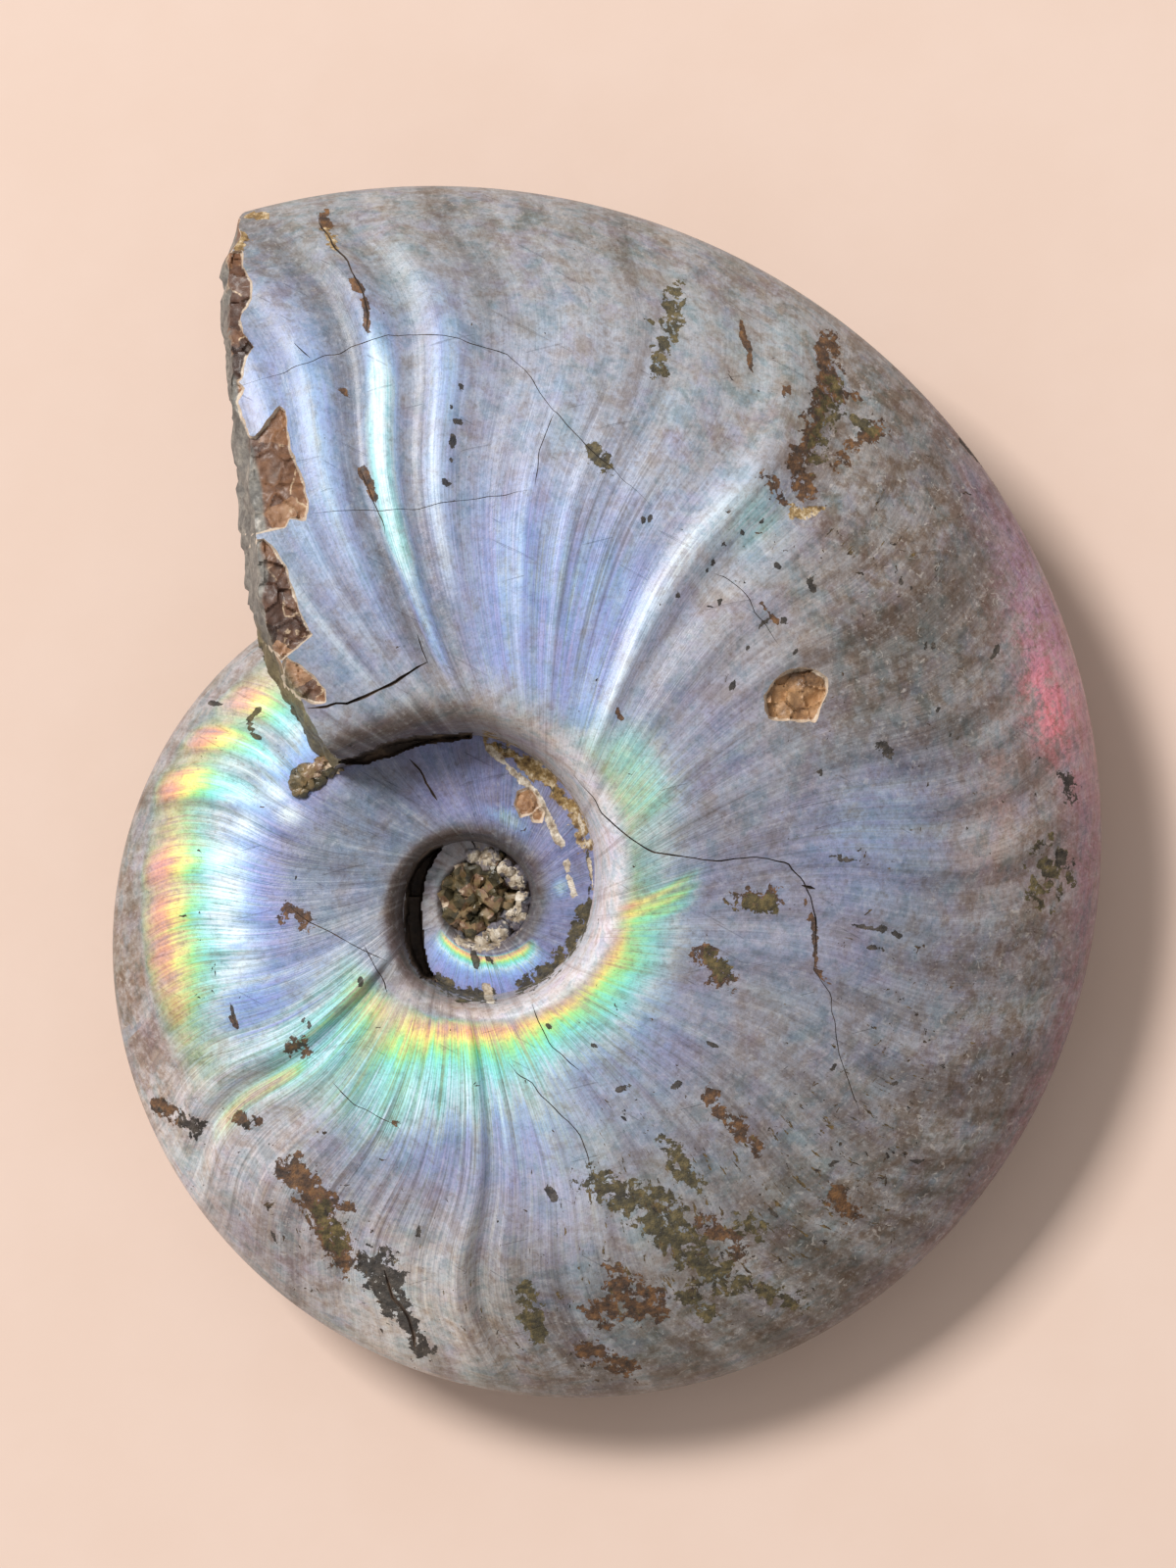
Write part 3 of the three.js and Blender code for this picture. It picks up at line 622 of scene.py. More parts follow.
# Ground tone of the shell by place: coil angle, share across, spread of both, colour, strength.
TONES = rows("""
    100 .92 30 .1 146 147 148 .9; 60 .85 24 .16 160 158 158 .8; 104 .7 16 .2 150 162 178 .9; 118 .6 8 .3 150
    166 188 .9; 75 .45 18 .3 190 202 226 .8; 70 .1 30 .06 176 176 182 1; 36 .1 16 .06 200 200 200 1; 116 .3 16
    .22 140 150 168 .8; -88 .62 7 .2 168 164 158 .8; -79 .74 4.5 .12 100 94 102 2; -62 .3 12 .12 178 196 198 1;
    34 .72 14 .24 129 116 107 1.1; 42 .78 9 .14 112 100 92 1.5; 48 .88 6 .08 108 96 88 1.6; 34 .3 12 .14 156
    156 160 .6; 10 .55 14 .3 127 131 140 .9; 0 .9 20 .12 147 132 127 .8; -12 .6 12 .3 138 140 153 .9; -25 .9 20
    .14 112 101 94 1.1; -45 .73 16 .14 128 122 118 .9; -42 .45 22 .22 144 145 152 .9; -55 .95 16 .1 118 109 99
    1; -80 .85 14 .14 132 126 120 1; -80 .45 12 .22 202 206 202 1; -100 .84 9 .16 222 216 210 1.8; -119 .75 9
    .2 176 168 162 1; -137 .86 12 .16 236 230 226 1.6; -131 .62 5 .15 214 208 206 1.2; -128 .2 4 .2 192 184 178
    1.6; -164 .84 10 .1 178 160 150 1.8; -148 .85 7 .12 200 186 172 1; -127 .9 6 .08 126 108 96 1.6; -178 .95
    20 .08 160 150 144 1.3; -215 .9 20 .1 178 172 172 1; -200 .28 30 .22 116 132 156 1.3; -165 .25 12 .2 146
    154 172 .8; -125 .45 14 .2 168 176 174 .7; -300 .2 60 .2 112 118 146 1.4; -450 .3 50 .3 138 146 180 1.2;
    -600 .1 60 .2 176 172 176 1.6; -520 .06 30 .06 170 164 166 1.6; -390 .2 30 .2 112 116 136 1.2; 20 .975 9
    .05 236 182 184 1.4; 44 .49 8 .13 178 178 182 1; 56 .38 6 .12 186 189 184 1; 7 .77 5 .07 184 162 152 1.3; 2
    .93 6 .05 164 148 146 1.6; 111 .72 6 .14 128 144 172 1.8; 8 .97 10 .05 168 120 142 .8; 36 .985 8 .05 172
    138 160 .9; -12 .99 12 .04 146 108 124 .7; -38 .99 12 .035 150 120 130 .6
""")
BLUSH = rows("""
    18.5 .92 4.2 .04 240 140 146 .85; 22 .93 7 .06 214 146 168 .5; 30 .965 9 .05 172 142 174 .5; 5 .97 12 .04
    170 124 142 .5; -18 .985 14 .03 150 104 122 .45; 12 .8 8 .03 190 150 146 .3
""")
# Brown mottling and nicks, growth lines that show, and dark flecks: the same without the colour.
WEAR = rows("""
    -300 .25 60 .3 .5; -150 .6 16 .2 .4; 100 .5 30 .4 .25; 34 .75 14 .25 1; 48 .85 10 .2 .8; 20 .5 10 .2 .5;
    -22 .85 24 .2 1; -55 .85 20 .16 1; -85 .9 12 .14 .8; -117 .84 10 .18 .9; -150 .85 10 .16 .7; -160 .93 16 .1
    .7; -185 .96 24 .06 .7; -220 .93 20 .08 .5; 80 .95 40 .07 .6; 112 .85 10 .14 .35; 60 .72 10 .2 .3; -128 .55
    10 .16 .5; -40 .5 22 .2 .3; 5 .85 16 .14 .5
""")
STREAKY = rows("""
    -140 .75 16 .25 .9; -95 .75 24 .22 .7; 30 .7 30 .25 .6; -30 .6 30 .3 .4; 76 .35 20 .3 1; -122 .45 20 .34 1;
    -88 .35 18 .26 .9; -185 .5 30 .3 .85; -145 .4 12 .22 .7; -55 .25 16 .14 .6; -440 .2 60 .14 .6; 110 .35 14
    .25 .45; -300 .2 60 .18 .7; 20 .25 20 .18 .5
""")
FLECKS = rows("""
    -35 .7 22 .22 .9; -62 .6 22 .3 1; -88 .8 16 .2 .6; 45 .75 14 .2 .7; 30 .5 14 .2 .4; -118 .75 16 .2 .7; -150
    .55 12 .2 .35; 0 .6 16 .3 .45; 93 .6 3 .2 .6; -195 .75 20 .2 .1; 115 .6 16 .4 -.4; 75 .35 14 .3 -.3; -300
    .2 60 .3 -.2
""")
# Wall down into the umbilicus, paler where it faces the light and darker where it faces away, as painted light and
# shade: coil angle, colour.
WALL_LIT_AND_SHADED_TONE = np.array(rows("""
    -700 112 100 97; -140 98 86 83; -106 186 176 172; -72 230 221 225; 30 232 225 231; 60 216 209 211; 82 186
    178 175; 93 156 147 143; 106 108 97 94; 170 96 84 80
"""))


def tone(angle, t, top):
    """Ground colour with painted light and shade on the rib crests and the umbilical wall, how far a point is down
    the wall, and how strong and which colour its blush is.
    """
    total = np.full_like(t, 0.22)
    rgb = lin(152, 152, 157)[:, None] * total
    for *place, red, green, blue, strength in TONES:
        w = strength * spot(angle, t, *place) ** 0.9
        rgb, total = rgb + lin(red, green, blue)[:, None] * w, total + w
    crest = rib_crest(angle, t)
    # Painted light and shade: the ground is lighter on rib crests and darker in the furrows between them.
    rgb = rgb / total * (1 + 0.22 * np.clip(crest, 0, 0.5) + 0.08 * np.clip(crest, -0.8, 0))
    blush, blush_rgb = np.full_like(t, 1e-6), lin(190, 130, 140)[:, None] * 1e-6
    for *place, red, green, blue, strength in BLUSH:
        w = np.clip(strength * spot(angle, t, *place), 0, 1) * (0.3 + 0.7 * top)
        blush, blush_rgb = blush + w, blush_rgb + lin(red, green, blue)[:, None] * w
    wall = 1 - smooth(0.045, 0.085, t)
    wall_lit_and_shaded_rgb = lin(*[np.interp(angle, WALL_LIT_AND_SHADED_TONE[:, 0], WALL_LIT_AND_SHADED_TONE[:, k]) for k in (1, 2, 3)])
    # Painted shade: darker at the foot of the wall along the seam, under the coil.
    wall_lit_and_shaded_rgb = wall_lit_and_shaded_rgb * (1 - 0.4 * (1 - smooth(0.005, 0.04, t)) * window(angle, -140, -62, 14))
    w = wall * np.where(angle > -250, 1.0, 0.75)
    return (rgb * (1 - w) + wall_lit_and_shaded_rgb * w).T, wall, np.clip(blush, 0, 1), (blush_rgb / blush).T


# Stains as brush strokes on the upper side: width at the middle in millimetres, how solid, line.
STAINS = {
    "stain_brown": rows("""
        1.75 .85 842 356 844 389 833 422 822 456 811 483 817 506; .8 .6 844 411 872 409; 1.35 .7 853 478 872
        456 894 439; .95 .4 778 494 794 517; .7 .7 756 336 758 356; .4 .6 762 362 764 382; 1.5 .75 748 914 768
        916 790 912; 1.8 .75 716 970 728 982 736 992; 1.5 .5 712 1236 736 1254 756 1272; 1.8 .8 604 1330 632
        1322 668 1330; 1.8 .7 626 1294 650 1306 664 1316; 2.2 .8 300 1188 312 1204 330 1220 344 1234; 2.2 .75
        322 1216 342 1250 356 1280; 1.1 .55 722 1112 744 1136 766 1162; 1.6 .55 850 1216 866 1234; 1.6 .5 596
        1370 640 1394; 1 .6 608 1334 616 1346; 1.4 .75 166 1128 182 1136; 1 .6 250 1138 262 1140; 1.3 .8 296
        930 310 934 320 940; 1.3 .85 303 1064 312 1066; .6 .7 242 1036 246 1044; .9 .9 332 222 336 240; .8 .9
        364 296 372 304; .5 .8 376 314 380 345; .9 .9 376 488 384 504; .7 .8 384 508 388 516; .6 .8 356 408 360
        412; .7 .7 797 406 803 405; .5 .8 630 730 632 736; .5 .6 404 1138 411 1142; .32 .45 814 908 826 940 828
        986 840 1000; .5 .6 786 640 770 622
"""),
    "stain_olive": rows("""
        1.5 .35 846 396 838 440 826 476; .9 .6 864 430 889 444; 1.35 .6 689 303 683 333 675 361 672 383; .5 .6
        659 333 664 335; 1.3 .4 748 916 785 918; 1.4 .5 722 974 738 986; 2.6 .6 1066 876 1068 892 1058 908; 2.2
        .6 606 1198 640 1212 672 1218 688 1234; 2.6 .65 668 1240 690 1258 712 1276 728 1296; 1.6 .55 334 1230
        350 1262; 1.6 .75 536 1312 542 1334 548 1354; 1.3 .6 678 1158 694 1184 712 1198; 1.5 .5 720 1284 760
        1308 816 1328; 1.3 .45 740 1230 772 1250; 1.6 .4 700 1310 720 1330; .34 .95 266 724 258 734 258 746 268
        754; 1.2 .7 606 470 616 484; .9 .5 508 760 552 788 584 826; 1 .75 594 930 582 962 560 986 534 1004; 1
        .7 448 998 470 1010 500 1016; .6 .7 262 640 276 672 296 712 318 748 344 782; .22 .8 598 856 603 890 602
        920 596 948
"""),
    "stain_dark": rows("""
        1.2 .5 1070 872 1082 880; 1.2 .5 1083 790 1088 812; .35 .4 842 872 872 878; .42 .5 868 942 898 946 912
        952; .3 .4 880 962 900 966; 1 .8 892 764 898 770; .25 .6 958 748 972 756; 2.2 .7 380 1284 398 1300 404
        1326; 1.2 .65 404 1326 424 1356 436 1378; 1.6 .6 380 1284 396 1280; .8 .6 560 1204 566 1216; 1.4 .75
        196 1144 206 1152; .12 .5 236 1014 240 1026 246 1040; .35 .7 215 719 226 718; .5 .7 484 970 488 984; .4
        .6 498 976 504 980; .3 .6 980 452 1000 472
"""),
    "stain_gold": rows("""
        1.1 .6 808 528 831 528; .8 .6 336 240 346 262; .9 .8 240 240 252 250 248 258; .8 .6 256 222 276 224;
        1.1 .75 500 756 540 780 566 802 586 830 598 862
"""),
    "stain_pale": rows("""
        .6 .7 500 764 528 790 550 812 562 840 574 862; .6 .6 578 880 586 912; .7 .6 496 1004 502 1018; 1.15 .75
        488 874 508 880 524 896 530 916 524 938 508 954 488 962 470 958; .16 .5 590 830 601 870 604 905
"""),
}
DARK_FLECKS = rows("""
    767 619; 775 639; 758 669; 808 667; 731 619; 789 583; 822 594; 828 606; 875 628; 944 661; 953 725; 831 789;
    692 617; 661 536; 756 550; 739 561; 769 539; 745 702; 722 585; 800 640; 472 404; 468 422; 470 440; 466 458;
    465 478; 462 500; 466 516; 604 1060; 634 1102; 636 1130; 688 1100; 724 1060; 906 1100; 846 1180; 786 1230;
    372 1000; 318 1040; 186 1136; 166 1132; 200 1156; 258 1142; 282 1258; 846 1084; 930 1180; 560 1040; 1010
    668; 918 600; 430 1250
""")
for k, (x, y) in enumerate(DARK_FLECKS):
    dx, dy = 3 + 3 * math.sin(k * 2.1), 4 * math.sin(k * 3.7 + 1)
    STAINS["stain_dark"].append([0.22 + 0.14 * math.sin(k * 1.3) ** 2, 0.7, x - dx, y - dy, x + dx, y + dy])
NARROW_STROKE = 0.95
# Right-hand border of the grey stone along the broken edge, and line of the olive crust on it.
STONE_BORDER = traced(rows("""
    238 345; 245 372; 251 400; 255 430; 258 452; 267 490; 274 520; 279 550; 279 590; 274 620; 276 650; 290 680;
    310 720; 330 760
"""))
OLIVE_LINE = traced(rows("256 660; 286 706; 318 748; 345 785"))


def paint(mesh):
    """Store on the mesh what its materials read."""
    count_v, count_f, count_l = len(mesh.vertices), len(mesh.polygons), len(mesh.loops)

    def read(items, name, count, kind=np.int32):
        out = np.empty(count, kind)
        items.foreach_get(name, out)
        return out

    def store(name, values, kind="FLOAT"):
        if kind == "FLOAT_COLOR":
            values = np.concatenate([values, np.ones((count_l, 1))], 1)
        data = mesh.attributes.new(name, kind, "CORNER").data
        field = {"FLOAT": "value", "FLOAT_VECTOR": "vector", "FLOAT_COLOR": "color"}[kind]
        data.foreach_set(field, values.astype(np.float32).ravel())

    p = moved(read(mesh.vertices, "co", count_v * 3, np.float32).reshape(-1, 3).astype(float), M_COIL)
    loop_v = read(mesh.loops, "vertex_index", count_l)
    total, index = (read(mesh.polygons, name, count_f) for name in ("loop_total", "material_index"))
    # The turn that each face belongs to is the one whose surface is nearest.
    face_of = np.repeat(np.arange(count_f), total)
    centre = np.stack([np.bincount(face_of, p[loop_v, i], count_f) for i in range(3)], 1) / total[:, None]
    phi, r = np.degrees(np.arctan2(centre[:, 1], centre[:, 0])), np.hypot(centre[:, 0], centre[:, 1])
    turn, miss = np.zeros(count_f), np.full(count_f, 1e9)
    for k in (0, -360, -720):
        t = share_across(phi + k, r)
        gap = np.abs(np.abs(centre[:, 2]) - surface_height(phi + k, np.clip(t, 0, 1)))
        gap = gap + 400 * np.maximum(0, -t - 0.004) + 400 * np.maximum(0, t - 1.02)
        gap = np.where(phi + k < -655, 1e8, gap)
        turn, miss = np.where(gap < miss, k, turn), np.minimum(gap, miss)
    turn = np.where(index == OUTER, np.where(phi < -178, 360, 0), turn)
    turn = np.where((index == INNER) & (turn == 0) & (phi > -160), -360, turn)
    q = p[loop_v]
    a = np.degrees(np.arctan2(q[:, 1], q[:, 0])) + turn[face_of]
    a = a + 360 * np.round(((phi + turn)[face_of] - a) / 360)
    t = np.clip(share_across(a, np.hypot(q[:, 0], q[:, 1])), 0, 1)
    top = smooth(-1.5, 1.5, q[:, 2])

    def painted(entries, low=0.0):
        return np.clip(sum(strength * spot(a, t, *place) for *place, strength in entries), low, 1)

    phase, vivid, glow = film(a, t, top)
    rgb, wall, blush, blush_rgb = tone(a, t, top)
    side = np.where(top > 0.5, 0.0, 7.0)
    store("flow", np.stack([a + growth_lag(t), t * 40, side + turn[face_of] / 36], 1), "FLOAT_VECTOR")
    store("phase", phase)
    store("vivid", vivid * (1 - 0.92 * wall))
    store("glow", glow * (1 - wall))
    store("tone", rgb, "FLOAT_COLOR")
    store("streaky", painted(STREAKY))
    store("blush", blush)
    store("blush_tone", blush_rgb, "FLOAT_COLOR")
    store("worn", painted(WEAR))
    store("fleck", painted(FLECKS, -0.6) * (1 - 0.5 * wall))

    x, y, z = p.T
    upper = z > 0

    def near(line, pad):
        low, high = line.min(0) - pad, line.max(0) + pad
        return upper & (x > low[0]) & (x < high[0]) & (y > low[1]) & (y < high[1])

    # Strokes: far away -1, rising to their strength on the line.
    for name, strokes in STAINS.items():
        field = np.full(count_v, -1.0)
        for width, solid, *stroke in strokes:
            stroke = traced(stroke)
            at = near(stroke, width * 1.8 + 0.7)
            reach, rise = (0.55, 0.8 + 1.1 * solid) if width < NARROW_STROKE else (0.84, 0.38 + 0.6 * solid)
            f = rise * (1 - (distance(stroke, x[at], y[at]) / (reach * width + 0.1)) ** 2)
            field[at] = np.maximum(field[at], f)
        store(name, field[loop_v])
    # Broken ground: depth below the old surface, or in the chips how far in.
    theta, across = unwrap(x, y)
    deep = surface_height(theta, np.clip(across, 0, 1)) - z
    in_chip = np.full(count_v, -9.0)
    for _, _, *outline in CHIPS:
        outline = traced(outline)
        at = near(outline, 1)
        in_chip[at] = np.maximum(in_chip[at], distance(outline, x[at], y[at], True))
    shown = np.where(in_chip > -0.25, np.maximum(in_chip, 0) * 0.9, np.clip(deep, 0, 9))
    store("deep", np.where(upper, shown, 5)[loop_v])
    # Grey stone low on the break, olive crust where it meets the coil, and tan calcite.
    stone = smooth(1.1, 1.9, np.where(upper, deep, 5) + 0.5 * noise3(p, 3.0, 81))
    outside = np.interp(-y, -STONE_BORDER[:, 1], STONE_BORDER[:, 0]) - x
    stone = np.maximum(stone, smooth(-0.25, 0.2, outside + 0.7 * noise3(p, 1.6, 83)) * (y < 57))
    store("stone", (stone * (x < -15))[loop_v])
    tan = np.exp(-((x - 31) ** 2 + (y - 20) ** 2) / 60) + 0.5 * (x > -10) * (x < 12)
    store("tan", np.clip(tan, 0, 1)[loop_v])
    store("olive", (1 - smooth(1.4, 3.2, distance(OLIVE_LINE, x, y) + 0.6 * noise3(p, 2.0, 82)))[loop_v])


paint(shell.data)
shell.data.shade_smooth()
shell.data.set_sharp_from_angle(angle=math.radians(42))

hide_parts("ammonite")
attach(shell, "root")

# floor, camera, light
floor_mesh = bpy.data.meshes.new("floor")
floor_mesh.from_pydata([(-3, -3, 0), (3, -3, 0), (3, 3, 0), (-3, 3, 0)], [], [(0, 1, 2, 3)])
floor = link("floor", floor_mesh)

# Coil millimetres: how far the camera is, how much it sees at that distance, and its middle.
DISTANCE, SEEN = 600.0, 160.0
VIEW_CENTRE = (10.3, 11.5)
SENSOR = 36.0
cam_data = bpy.data.cameras.new("camera")
cam = link("camera", cam_data)
cam_data.sensor_fit = "AUTO"
cam_data.sensor_width = SENSOR
cam_data.lens = SENSOR * DISTANCE / SEEN
cam_data.clip_start, cam_data.clip_end = 0.05, 10
cam.location = to_row @ Vector((*VIEW_CENTRE, DISTANCE))
cam.rotation_mode = "QUATERNION"
cam.rotation_quaternion = lean.to_quaternion()
bpy.context.scene.camera = cam

KEY_FROM, KEY_DISTANCE, KEY_SIZE, KEY_POWER = (-0.72, 0.62, 1.25), 2.2, 0.6, 51.0
key_data = bpy.data.lights.new("key", "AREA")
key_data.size, key_data.energy, key_data.color = KEY_SIZE, KEY_POWER, (1.0, 0.975, 0.95)
key = link("key", key_data)
toward = Vector(KEY_FROM).normalized()
key.location = toward * KEY_DISTANCE
key.rotation_mode = "QUATERNION"
key.rotation_quaternion = toward.to_track_quat("Z", "Y")

world = bpy.data.worlds.new("world")
bpy.context.scene.world = world
world.use_nodes = True
sky = world.node_tree.nodes["Background"].inputs
sky[0].default_value = (1.0, 0.97, 0.95, 1)
sky[1].default_value = 0.47
bpy.context.scene.view_settings.view_transform = "Standard"


# materials
class Value:
    """Shader value that can be added, taken away and multiplied."""

    def __init__(self, nodes, socket):
        self.nodes, self.socket = nodes, socket

    def __add__(self, other):
        return self.nodes.math("ADD", self, other)

    def __sub__(self, other):
        return self.nodes.math("SUBTRACT", self, other)

    def __rsub__(self, other):
        return self.nodes.math("SUBTRACT", other, self)

    def __mul__(self, other):
        return self.nodes.math("MULTIPLY", self, other)

    def clamped(self):
        self.socket.node.use_clamp = True
        return self


class Nodes:
    """Short way to add nodes and link them."""

    def __init__(self, material):
        material.use_nodes = True
        self.tree = material.node_tree
        self.tree.nodes.clear()
        self.place = self.add("TexCoord", out="Object")

    def add(self, kind, inputs=None, out=0, **props):
        n = self.tree.nodes.new("ShaderNode" + kind)
        for key, value in props.items():
            setattr(n, key, value)
        for key, value in (inputs or {}).items():
            if isinstance(value, Value):
                self.tree.links.new(value.socket, n.inputs[key])
            else:
                n.inputs[key].default_value = (*value, 1) if isinstance(value, np.ndarray) else value
        return Value(self, n.outputs[out]) if len(n.outputs) else n

    def attr(self, name, out="Fac"):
        return self.add("Attribute", out=out, attribute_name=name, attribute_type="GEOMETRY")

    def math(self, operation, a, b):
        return self.add("Math", {0: a, 1: b}, operation=operation)

    def step(self, v, low, high, out_low=0.0, out_high=1.0):
        return self.add("MapRange", {0: v, 1: low, 2: high, 3: out_low, 4: out_high}, interpolation_type="SMOOTHSTEP")

    def mix(self, f, a, b, blend="MIX"):
        return self.add("Mix", {0: f, 6: a, 7: b}, 2, data_type="RGBA", blend_type=blend)

    def wash(self, f, color, *rgb):
        return self.mix(f, color, lin(*rgb))

    def tint(self, f, color, *rgb):
        return self.mix(f, color, lin(*rgb), "MULTIPLY")

    def noise(self, vector, scale, detail=3.0, rough=0.55, distortion=0.0):
        return self.add("TexNoise", {"Vector": vector, "Scale": scale, "Detail": detail, "Roughness": rough,
                                     "Distortion": distortion})

    def cell_shade(self, vector, scale):
        """Random value of each cell."""
        return self.add("SeparateColor", {0: self.add("TexVoronoi", {"Vector": vector, "Scale": scale}, "Color")})

    def scaled(self, vector, x, y, z):
        return self.add("VectorMath", {0: vector, 1: (x, y, z)}, operation="MULTIPLY")

    def ramp(self, f, text):
        """Colours in rows of a place from 0 to 1 and a colour."""
        value = self.add("ValToRGB", {0: f})
        stops, elements = rows(text), value.socket.node.color_ramp.elements
        while len(elements) < len(stops):
            elements.new(0.5)
        for e, (place, *rgb) in zip(elements, stops):
            e.position, e.color = place, (*lin(*rgb), 1)
        return value

    def surface(self, color, rough, height, distance, coat=0.0, specular=0.5):
        normal = self.add("Bump", {"Strength": 1.0, "Distance": distance, "Height": height})
        shader = self.add("BsdfPrincipled", {"Base Color": color, "Roughness": rough, "Normal": normal,
                                             "Coat Weight": coat, "Coat Roughness": 0.22,
                                             "Specular IOR Level": specular})
        self.add("OutputMaterial", {0: shader})


# The film's order of colours, from the rim of a rainbow inward.
FILM = """
    0 168 132 150; .08 243 158 168; .16 252 184 138; .24 250 240 140; .33 166 240 156; .42 140 236 222; .49 172
    240 250; .53 214 244 255; .59 164 208 255; .68 144 168 236; .77 162 162 220; .87 156 162 184; 1 136 146 160
"""
STAIN_COLOURS = (
    ("stain_brown", ".34 44 32 23; .5 84 58 36; .66 128 90 52"),
    ("stain_olive", ".34 46 42 29; .5 78 70 44; .66 116 102 64"),
    ("stain_dark", ".34 30 27 24; .5 54 48 42; .66 86 78 70"),
    ("stain_gold", ".34 84 62 34; .5 150 122 74; .66 220 202 170"),
    ("stain_pale", ".34 132 112 88; .5 196 182 160; .66 240 232 218"),
)
# Turn in radians, stretch and threshold of the two families of scratches.
SCRATCHES = ((0.5, 90, 2300, 0.745, 0.77), (-0.25, 80, 2100, 0.75, 0.775))


def nacre(material):
    n = Nodes(material)
    place, flow = n.place, n.attr("flow", "Vector")
    streaky, worn, flecked = n.attr("streaky"), n.attr("worn"), n.attr("fleck")

    def grown(x, y, z, detail, rough):
        """Noise drawn out along the growth lines."""
        return n.noise(n.scaled(flow, x, y, z), 1.0, detail, rough)

    striae, fine = grown(0.62, 0.05, 1, 4, 0.62), grown(2.3, 0.07, 1, 3, 0.6)
    cloud, mottle = n.noise(place, 130, 5, 0.6), n.noise(place, 420, 6, 0.68)
    speck = n.noise(place, 1500, 4, 0.7)
    # The film: its phase wanders with the growth lines and with cloudy patches.
    phase = n.attr("phase") + (striae - 0.5) * (streaky * 0.34 + 0.18) + (cloud - 0.5) * 0.20
    phase = phase + (fine - 0.5) * (streaky * 0.30 + 0.10) + (mottle - 0.5) * 0.12
    broken = (striae * 0.5 + fine * 0.5) * 0.62 + mottle * 0.38
    vivid = n.attr("vivid") * n.step(broken, 0.36, 0.54, 0.40, 1.22)
    vivid = (vivid * n.step(speck, 0.34, 0.52, 0.82, 1.05)).clamped()
    # The ground: cloudy grey with teal, lilac and warm patches, wear, and pale and dark specks.
    base = n.attr("tone", "Color")
    broad = grown(0.20, 0.05, 1, 5, 0.62)
    base = n.tint(n.step(broad, 0.50, 0.36, 0.0, 0.8), base, 212, 204, 198)
    base = n.wash(n.step(broad, 0.50, 0.66, 0.0, 0.275), base, 206, 208, 212)
    base = n.tint(n.step(n.noise(place, 170, 4, 0.66), 0.46, 0.66, 0.0, 0.55), base, 226, 246, 248)
    lilac = n.noise(n.scaled(place, 1, 1, 2), 210, 4, 0.66)
    base = n.tint(n.step(lilac, 0.48, 0.66, 0.0, 0.6), base, 240, 232, 252)
    warm = n.noise(n.scaled(place, 1, 1, 3), 260, 4, 0.68)
    base = n.tint(n.step(warm, 0.47, 0.62, 0.0, 0.6), base, 246, 236, 222)
    pale = n.wash(0.55, base, 218, 212, 208)
    base = n.tint(((worn + 0.12) * n.step(mottle, 0.45, 0.60)).clamped(), base, 216, 202, 186)
    rubbed = (worn + 0.22) * n.step(n.noise(place, 760, 4, 0.7), 0.55, 0.68, 0.0, 0.24)
    base = n.mix(rubbed.clamped(), base, pale)
    blush = n.attr("blush") * n.step(mottle * 0.6 + speck * 0.4, 0.44, 0.56, 0.12, 1.1)
    base = n.mix(blush.clamped(), base, n.attr("blush_tone", "Color"))
    color = n.mix(vivid, base, n.ramp(phase, FILM))
    # Painted highlight: blown-out white light washed over the colour.
    glow = n.attr("glow") * n.step(broken, 0.42, 0.54, 0.22, 1.15)
    color = n.wash(glow.clamped(), color, 232, 248, 255)
    # Growth lines and the furrows between them, darkened as painted shade, and cloudy teal and brown films of dirt.
    lines = fine * 0.6 + grown(6, 0.10, 1, 2, 0.5) * 0.4
    color = n.tint(n.step(lines, 0.62, 0.40) * (streaky * 0.50 + 0.10), color, 168, 172, 186)
    furrow = n.step(grown(0.80, 0.03, 2, 3, 0.5), 0.55, 0.68)
    color = n.tint((furrow * (streaky * 0.8)).clamped(), color, 196, 186, 178)
    plain = 1.0 - vivid * 0.75
    patch = n.noise(n.scaled(place, 1, 1, 4), 300, 5, 0.72)
    color = n.tint(plain * n.step(patch, 0.50, 0.62, 0.0, 0.9), color, 214, 229, 233)
    color = n.tint(plain * n.step(patch, 0.49, 0.38, 0.0, 0.9), color, 232, 221, 212)
    color = n.tint(plain * n.step(speck, 0.50, 0.36, 0.0, 0.34), color, 190, 182, 176)
    color = n.wash(plain * n.step(speck, 0.54, 0.70, 0.0, 0.17), color, 222, 222, 222)
    color = n.tint(n.step(n.noise(place, 3600, 3, 0.6), 0.48, 0.36, 0.0, 0.25), color, 176, 170, 168)
    nick = n.step(n.noise(place, 1150, 2, 0.5, 1.2), 0.66, 0.70)
    color = n.wash((nick * (worn * 0.32)).clamped(), color, 206, 198, 190)
    scratch = n.math("MAXIMUM", *[
        n.step(n.noise(n.scaled(n.add("VectorRotate", {0: place, 3: turn}, rotation_type="Z_AXIS"), x, y, 300),
                       1.0, 1.0, 0.5), low, high) for turn, x, y, low, high in SCRATCHES])
    color = n.tint(scratch * 0.18, color, 120, 110, 108)
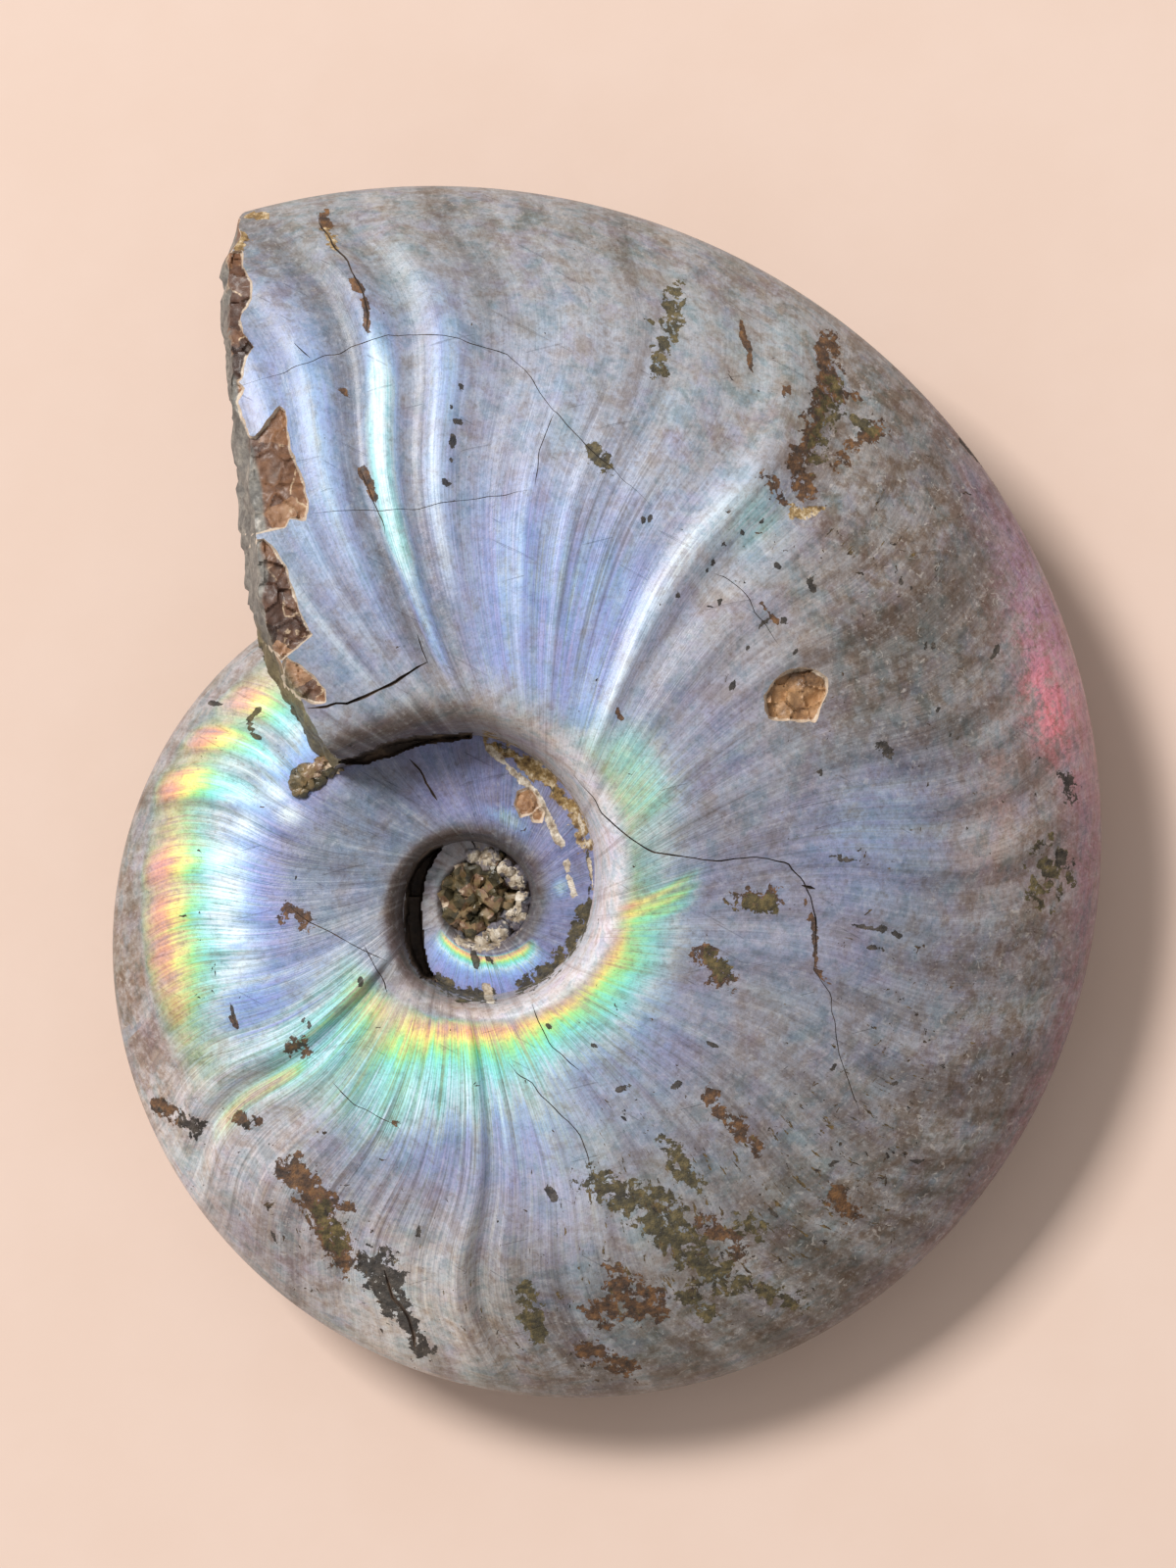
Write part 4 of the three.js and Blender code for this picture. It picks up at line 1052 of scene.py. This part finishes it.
    # Stains: ragged crusts along their strokes, and loose flecks.
    ragged = n.noise(place, 1700, 5, 0.7)
    wobble = (ragged - 0.5) * 1.8 + (n.noise(place, 700, 5, 0.66, 0.35) - 0.5) * 5.0
    dirt = n.noise(place, 1100, 4, 0.65)
    stained = []
    for name, colours in STAIN_COLOURS:
        stained.append(n.step(n.attr(name) + wobble, 0.38, 0.44))
        color = n.mix(stained[-1] * 0.94, color, n.ramp(dirt, colours))
    stained.append(n.step(grown(0.95, 0.42, 1, 5, 0.68) + flecked * 0.13, 0.725, 0.745))
    color = n.mix(stained[-1], color, n.ramp(dirt, ".36 44 36 28; .62 112 92 56"))
    bits = n.noise(place, 820, 4, 0.62, 0.8) + (n.noise(place, 110, 2) - 0.5) * 0.22 + flecked * 0.07
    stained.append(n.step(bits, 0.722, 0.735))
    color = n.mix(stained[-1], color, n.ramp(dirt, ".4 38 33 30; .66 96 78 58"))
    stain = stained[0]
    for mask in stained[1:]:
        stain = n.math("MAXIMUM", stain, mask)
    rough = mottle * 0.22 + worn * 0.16 + stain * 0.30 + (speck * 0.10 + 0.20)
    height = striae * 0.40 + fine * 0.30 + mottle * (worn + 0.15) * 0.9 + ragged * stain * 1.6
    height = height - stain * 0.9 + speck * 0.35 - scratch * 0.25
    n.surface(color, rough, height, 0.00016, 0.08, 0.38)


def calcite(material):
    n = Nodes(material)
    place, stone = n.place, n.attr("stone")
    swirl = n.add("TexNoise", {"Vector": place, "Scale": 420.0, "Detail": 4.0}, 1)
    bent = n.add("VectorMath", {0: swirl, 1: (0.0022, 0.0022, 0.0022), 2: place}, operation="MULTIPLY_ADD")
    shade = n.cell_shade(bent, 240)
    cloud = n.noise(place, 420, 6, 0.65)
    grain = n.noise(place, 1500, 6, 0.72)
    brown = n.ramp(shade * 0.42 + cloud * 0.58,
                   ".26 52 36 30; .4 84 58 46; .52 112 78 56; .64 142 102 72; .8 182 146 114")
    border = n.add("TexVoronoi", {"Vector": bent, "Scale": 240.0}, "Distance", feature="DISTANCE_TO_EDGE")
    vein = n.step(border, 0.035, 0.01)
    brown = n.wash(vein * n.step(cloud, 0.50, 0.60), brown, 206, 182, 152)
    brown = n.wash(n.attr("tan") * n.step(cloud, 0.34, 0.58, 0.2, 0.75), brown, 192, 148, 102)
    rock = n.ramp(n.noise(place, 560, 8, 0.7), ".3 70 68 66; .48 114 112 108; .62 146 142 134; .76 186 180 168")
    moss = n.ramp(n.noise(place, 640, 7, 0.7), ".3 60 53 38; .5 104 94 68; .68 140 128 96; .8 172 160 126")
    color = n.mix(n.attr("olive"), n.mix(stone, brown, rock), moss)
    color = n.tint(n.step(grain, 0.5, 0.34, 0.0, 0.5), color, 150, 140, 132)
    rim = n.step(n.attr("deep") + (cloud - 0.5) * 0.9, 0.20, 0.06)
    color = n.wash(rim * 0.8, color, 222, 206, 186)
    rough = n.step(cloud, 0.3, 0.7, 0.3, 0.58) + stone * 0.3
    n.surface(color, rough, grain * 0.7 + shade * 0.8, 0.00022, 0.12)


def crystals(material):
    n = Nodes(material)
    shade = n.cell_shade(n.place, 800)
    color = n.ramp(shade * 0.3 + n.noise(n.place, 480, 6, 0.68) * 0.7,
                   ".26 36 33 26; .38 68 63 46; .48 100 88 62; .56 132 110 76; .62 118 86 66; .68 196 176 150;"
                   ".78 236 224 206")
    height = n.noise(n.place, 1300, 6, 0.7) * 0.8 + shade * 0.5
    n.surface(color, n.step(shade, 0.2, 0.8, 0.22, 0.55), height, 0.0002, 0.2)


# Dark fill of the cracks, also used as painted shade lining the gaps between turns.
def crack_and_gap_shade_fill(material):
    n = Nodes(material)
    cloud = n.noise(n.place, 500, 5, 0.6)
    color = n.ramp(cloud, ".35 54 46 42; .55 92 78 68; .72 140 118 98")
    n.surface(color, n.step(cloud, 0.3, 0.7, 0.6, 0.85), cloud, 0.0001)


def paper(material):
    n = Nodes(material)
    cloud = n.noise(n.place, 60, 4)
    color = n.mix(n.step(cloud, 0.3, 0.7), lin(214, 190, 175), lin(216, 193, 179))
    n.surface(color, n.step(cloud, 0.2, 0.8, 0.8, 0.9), cloud, 0.0001)


for slot, look in zip(SLOTS, (nacre, nacre, calcite, crystals, crack_and_gap_shade_fill)):
    look(slot)
backdrop = bpy.data.materials.new("paper_backdrop")
paper(backdrop)
floor.data.materials.append(backdrop)
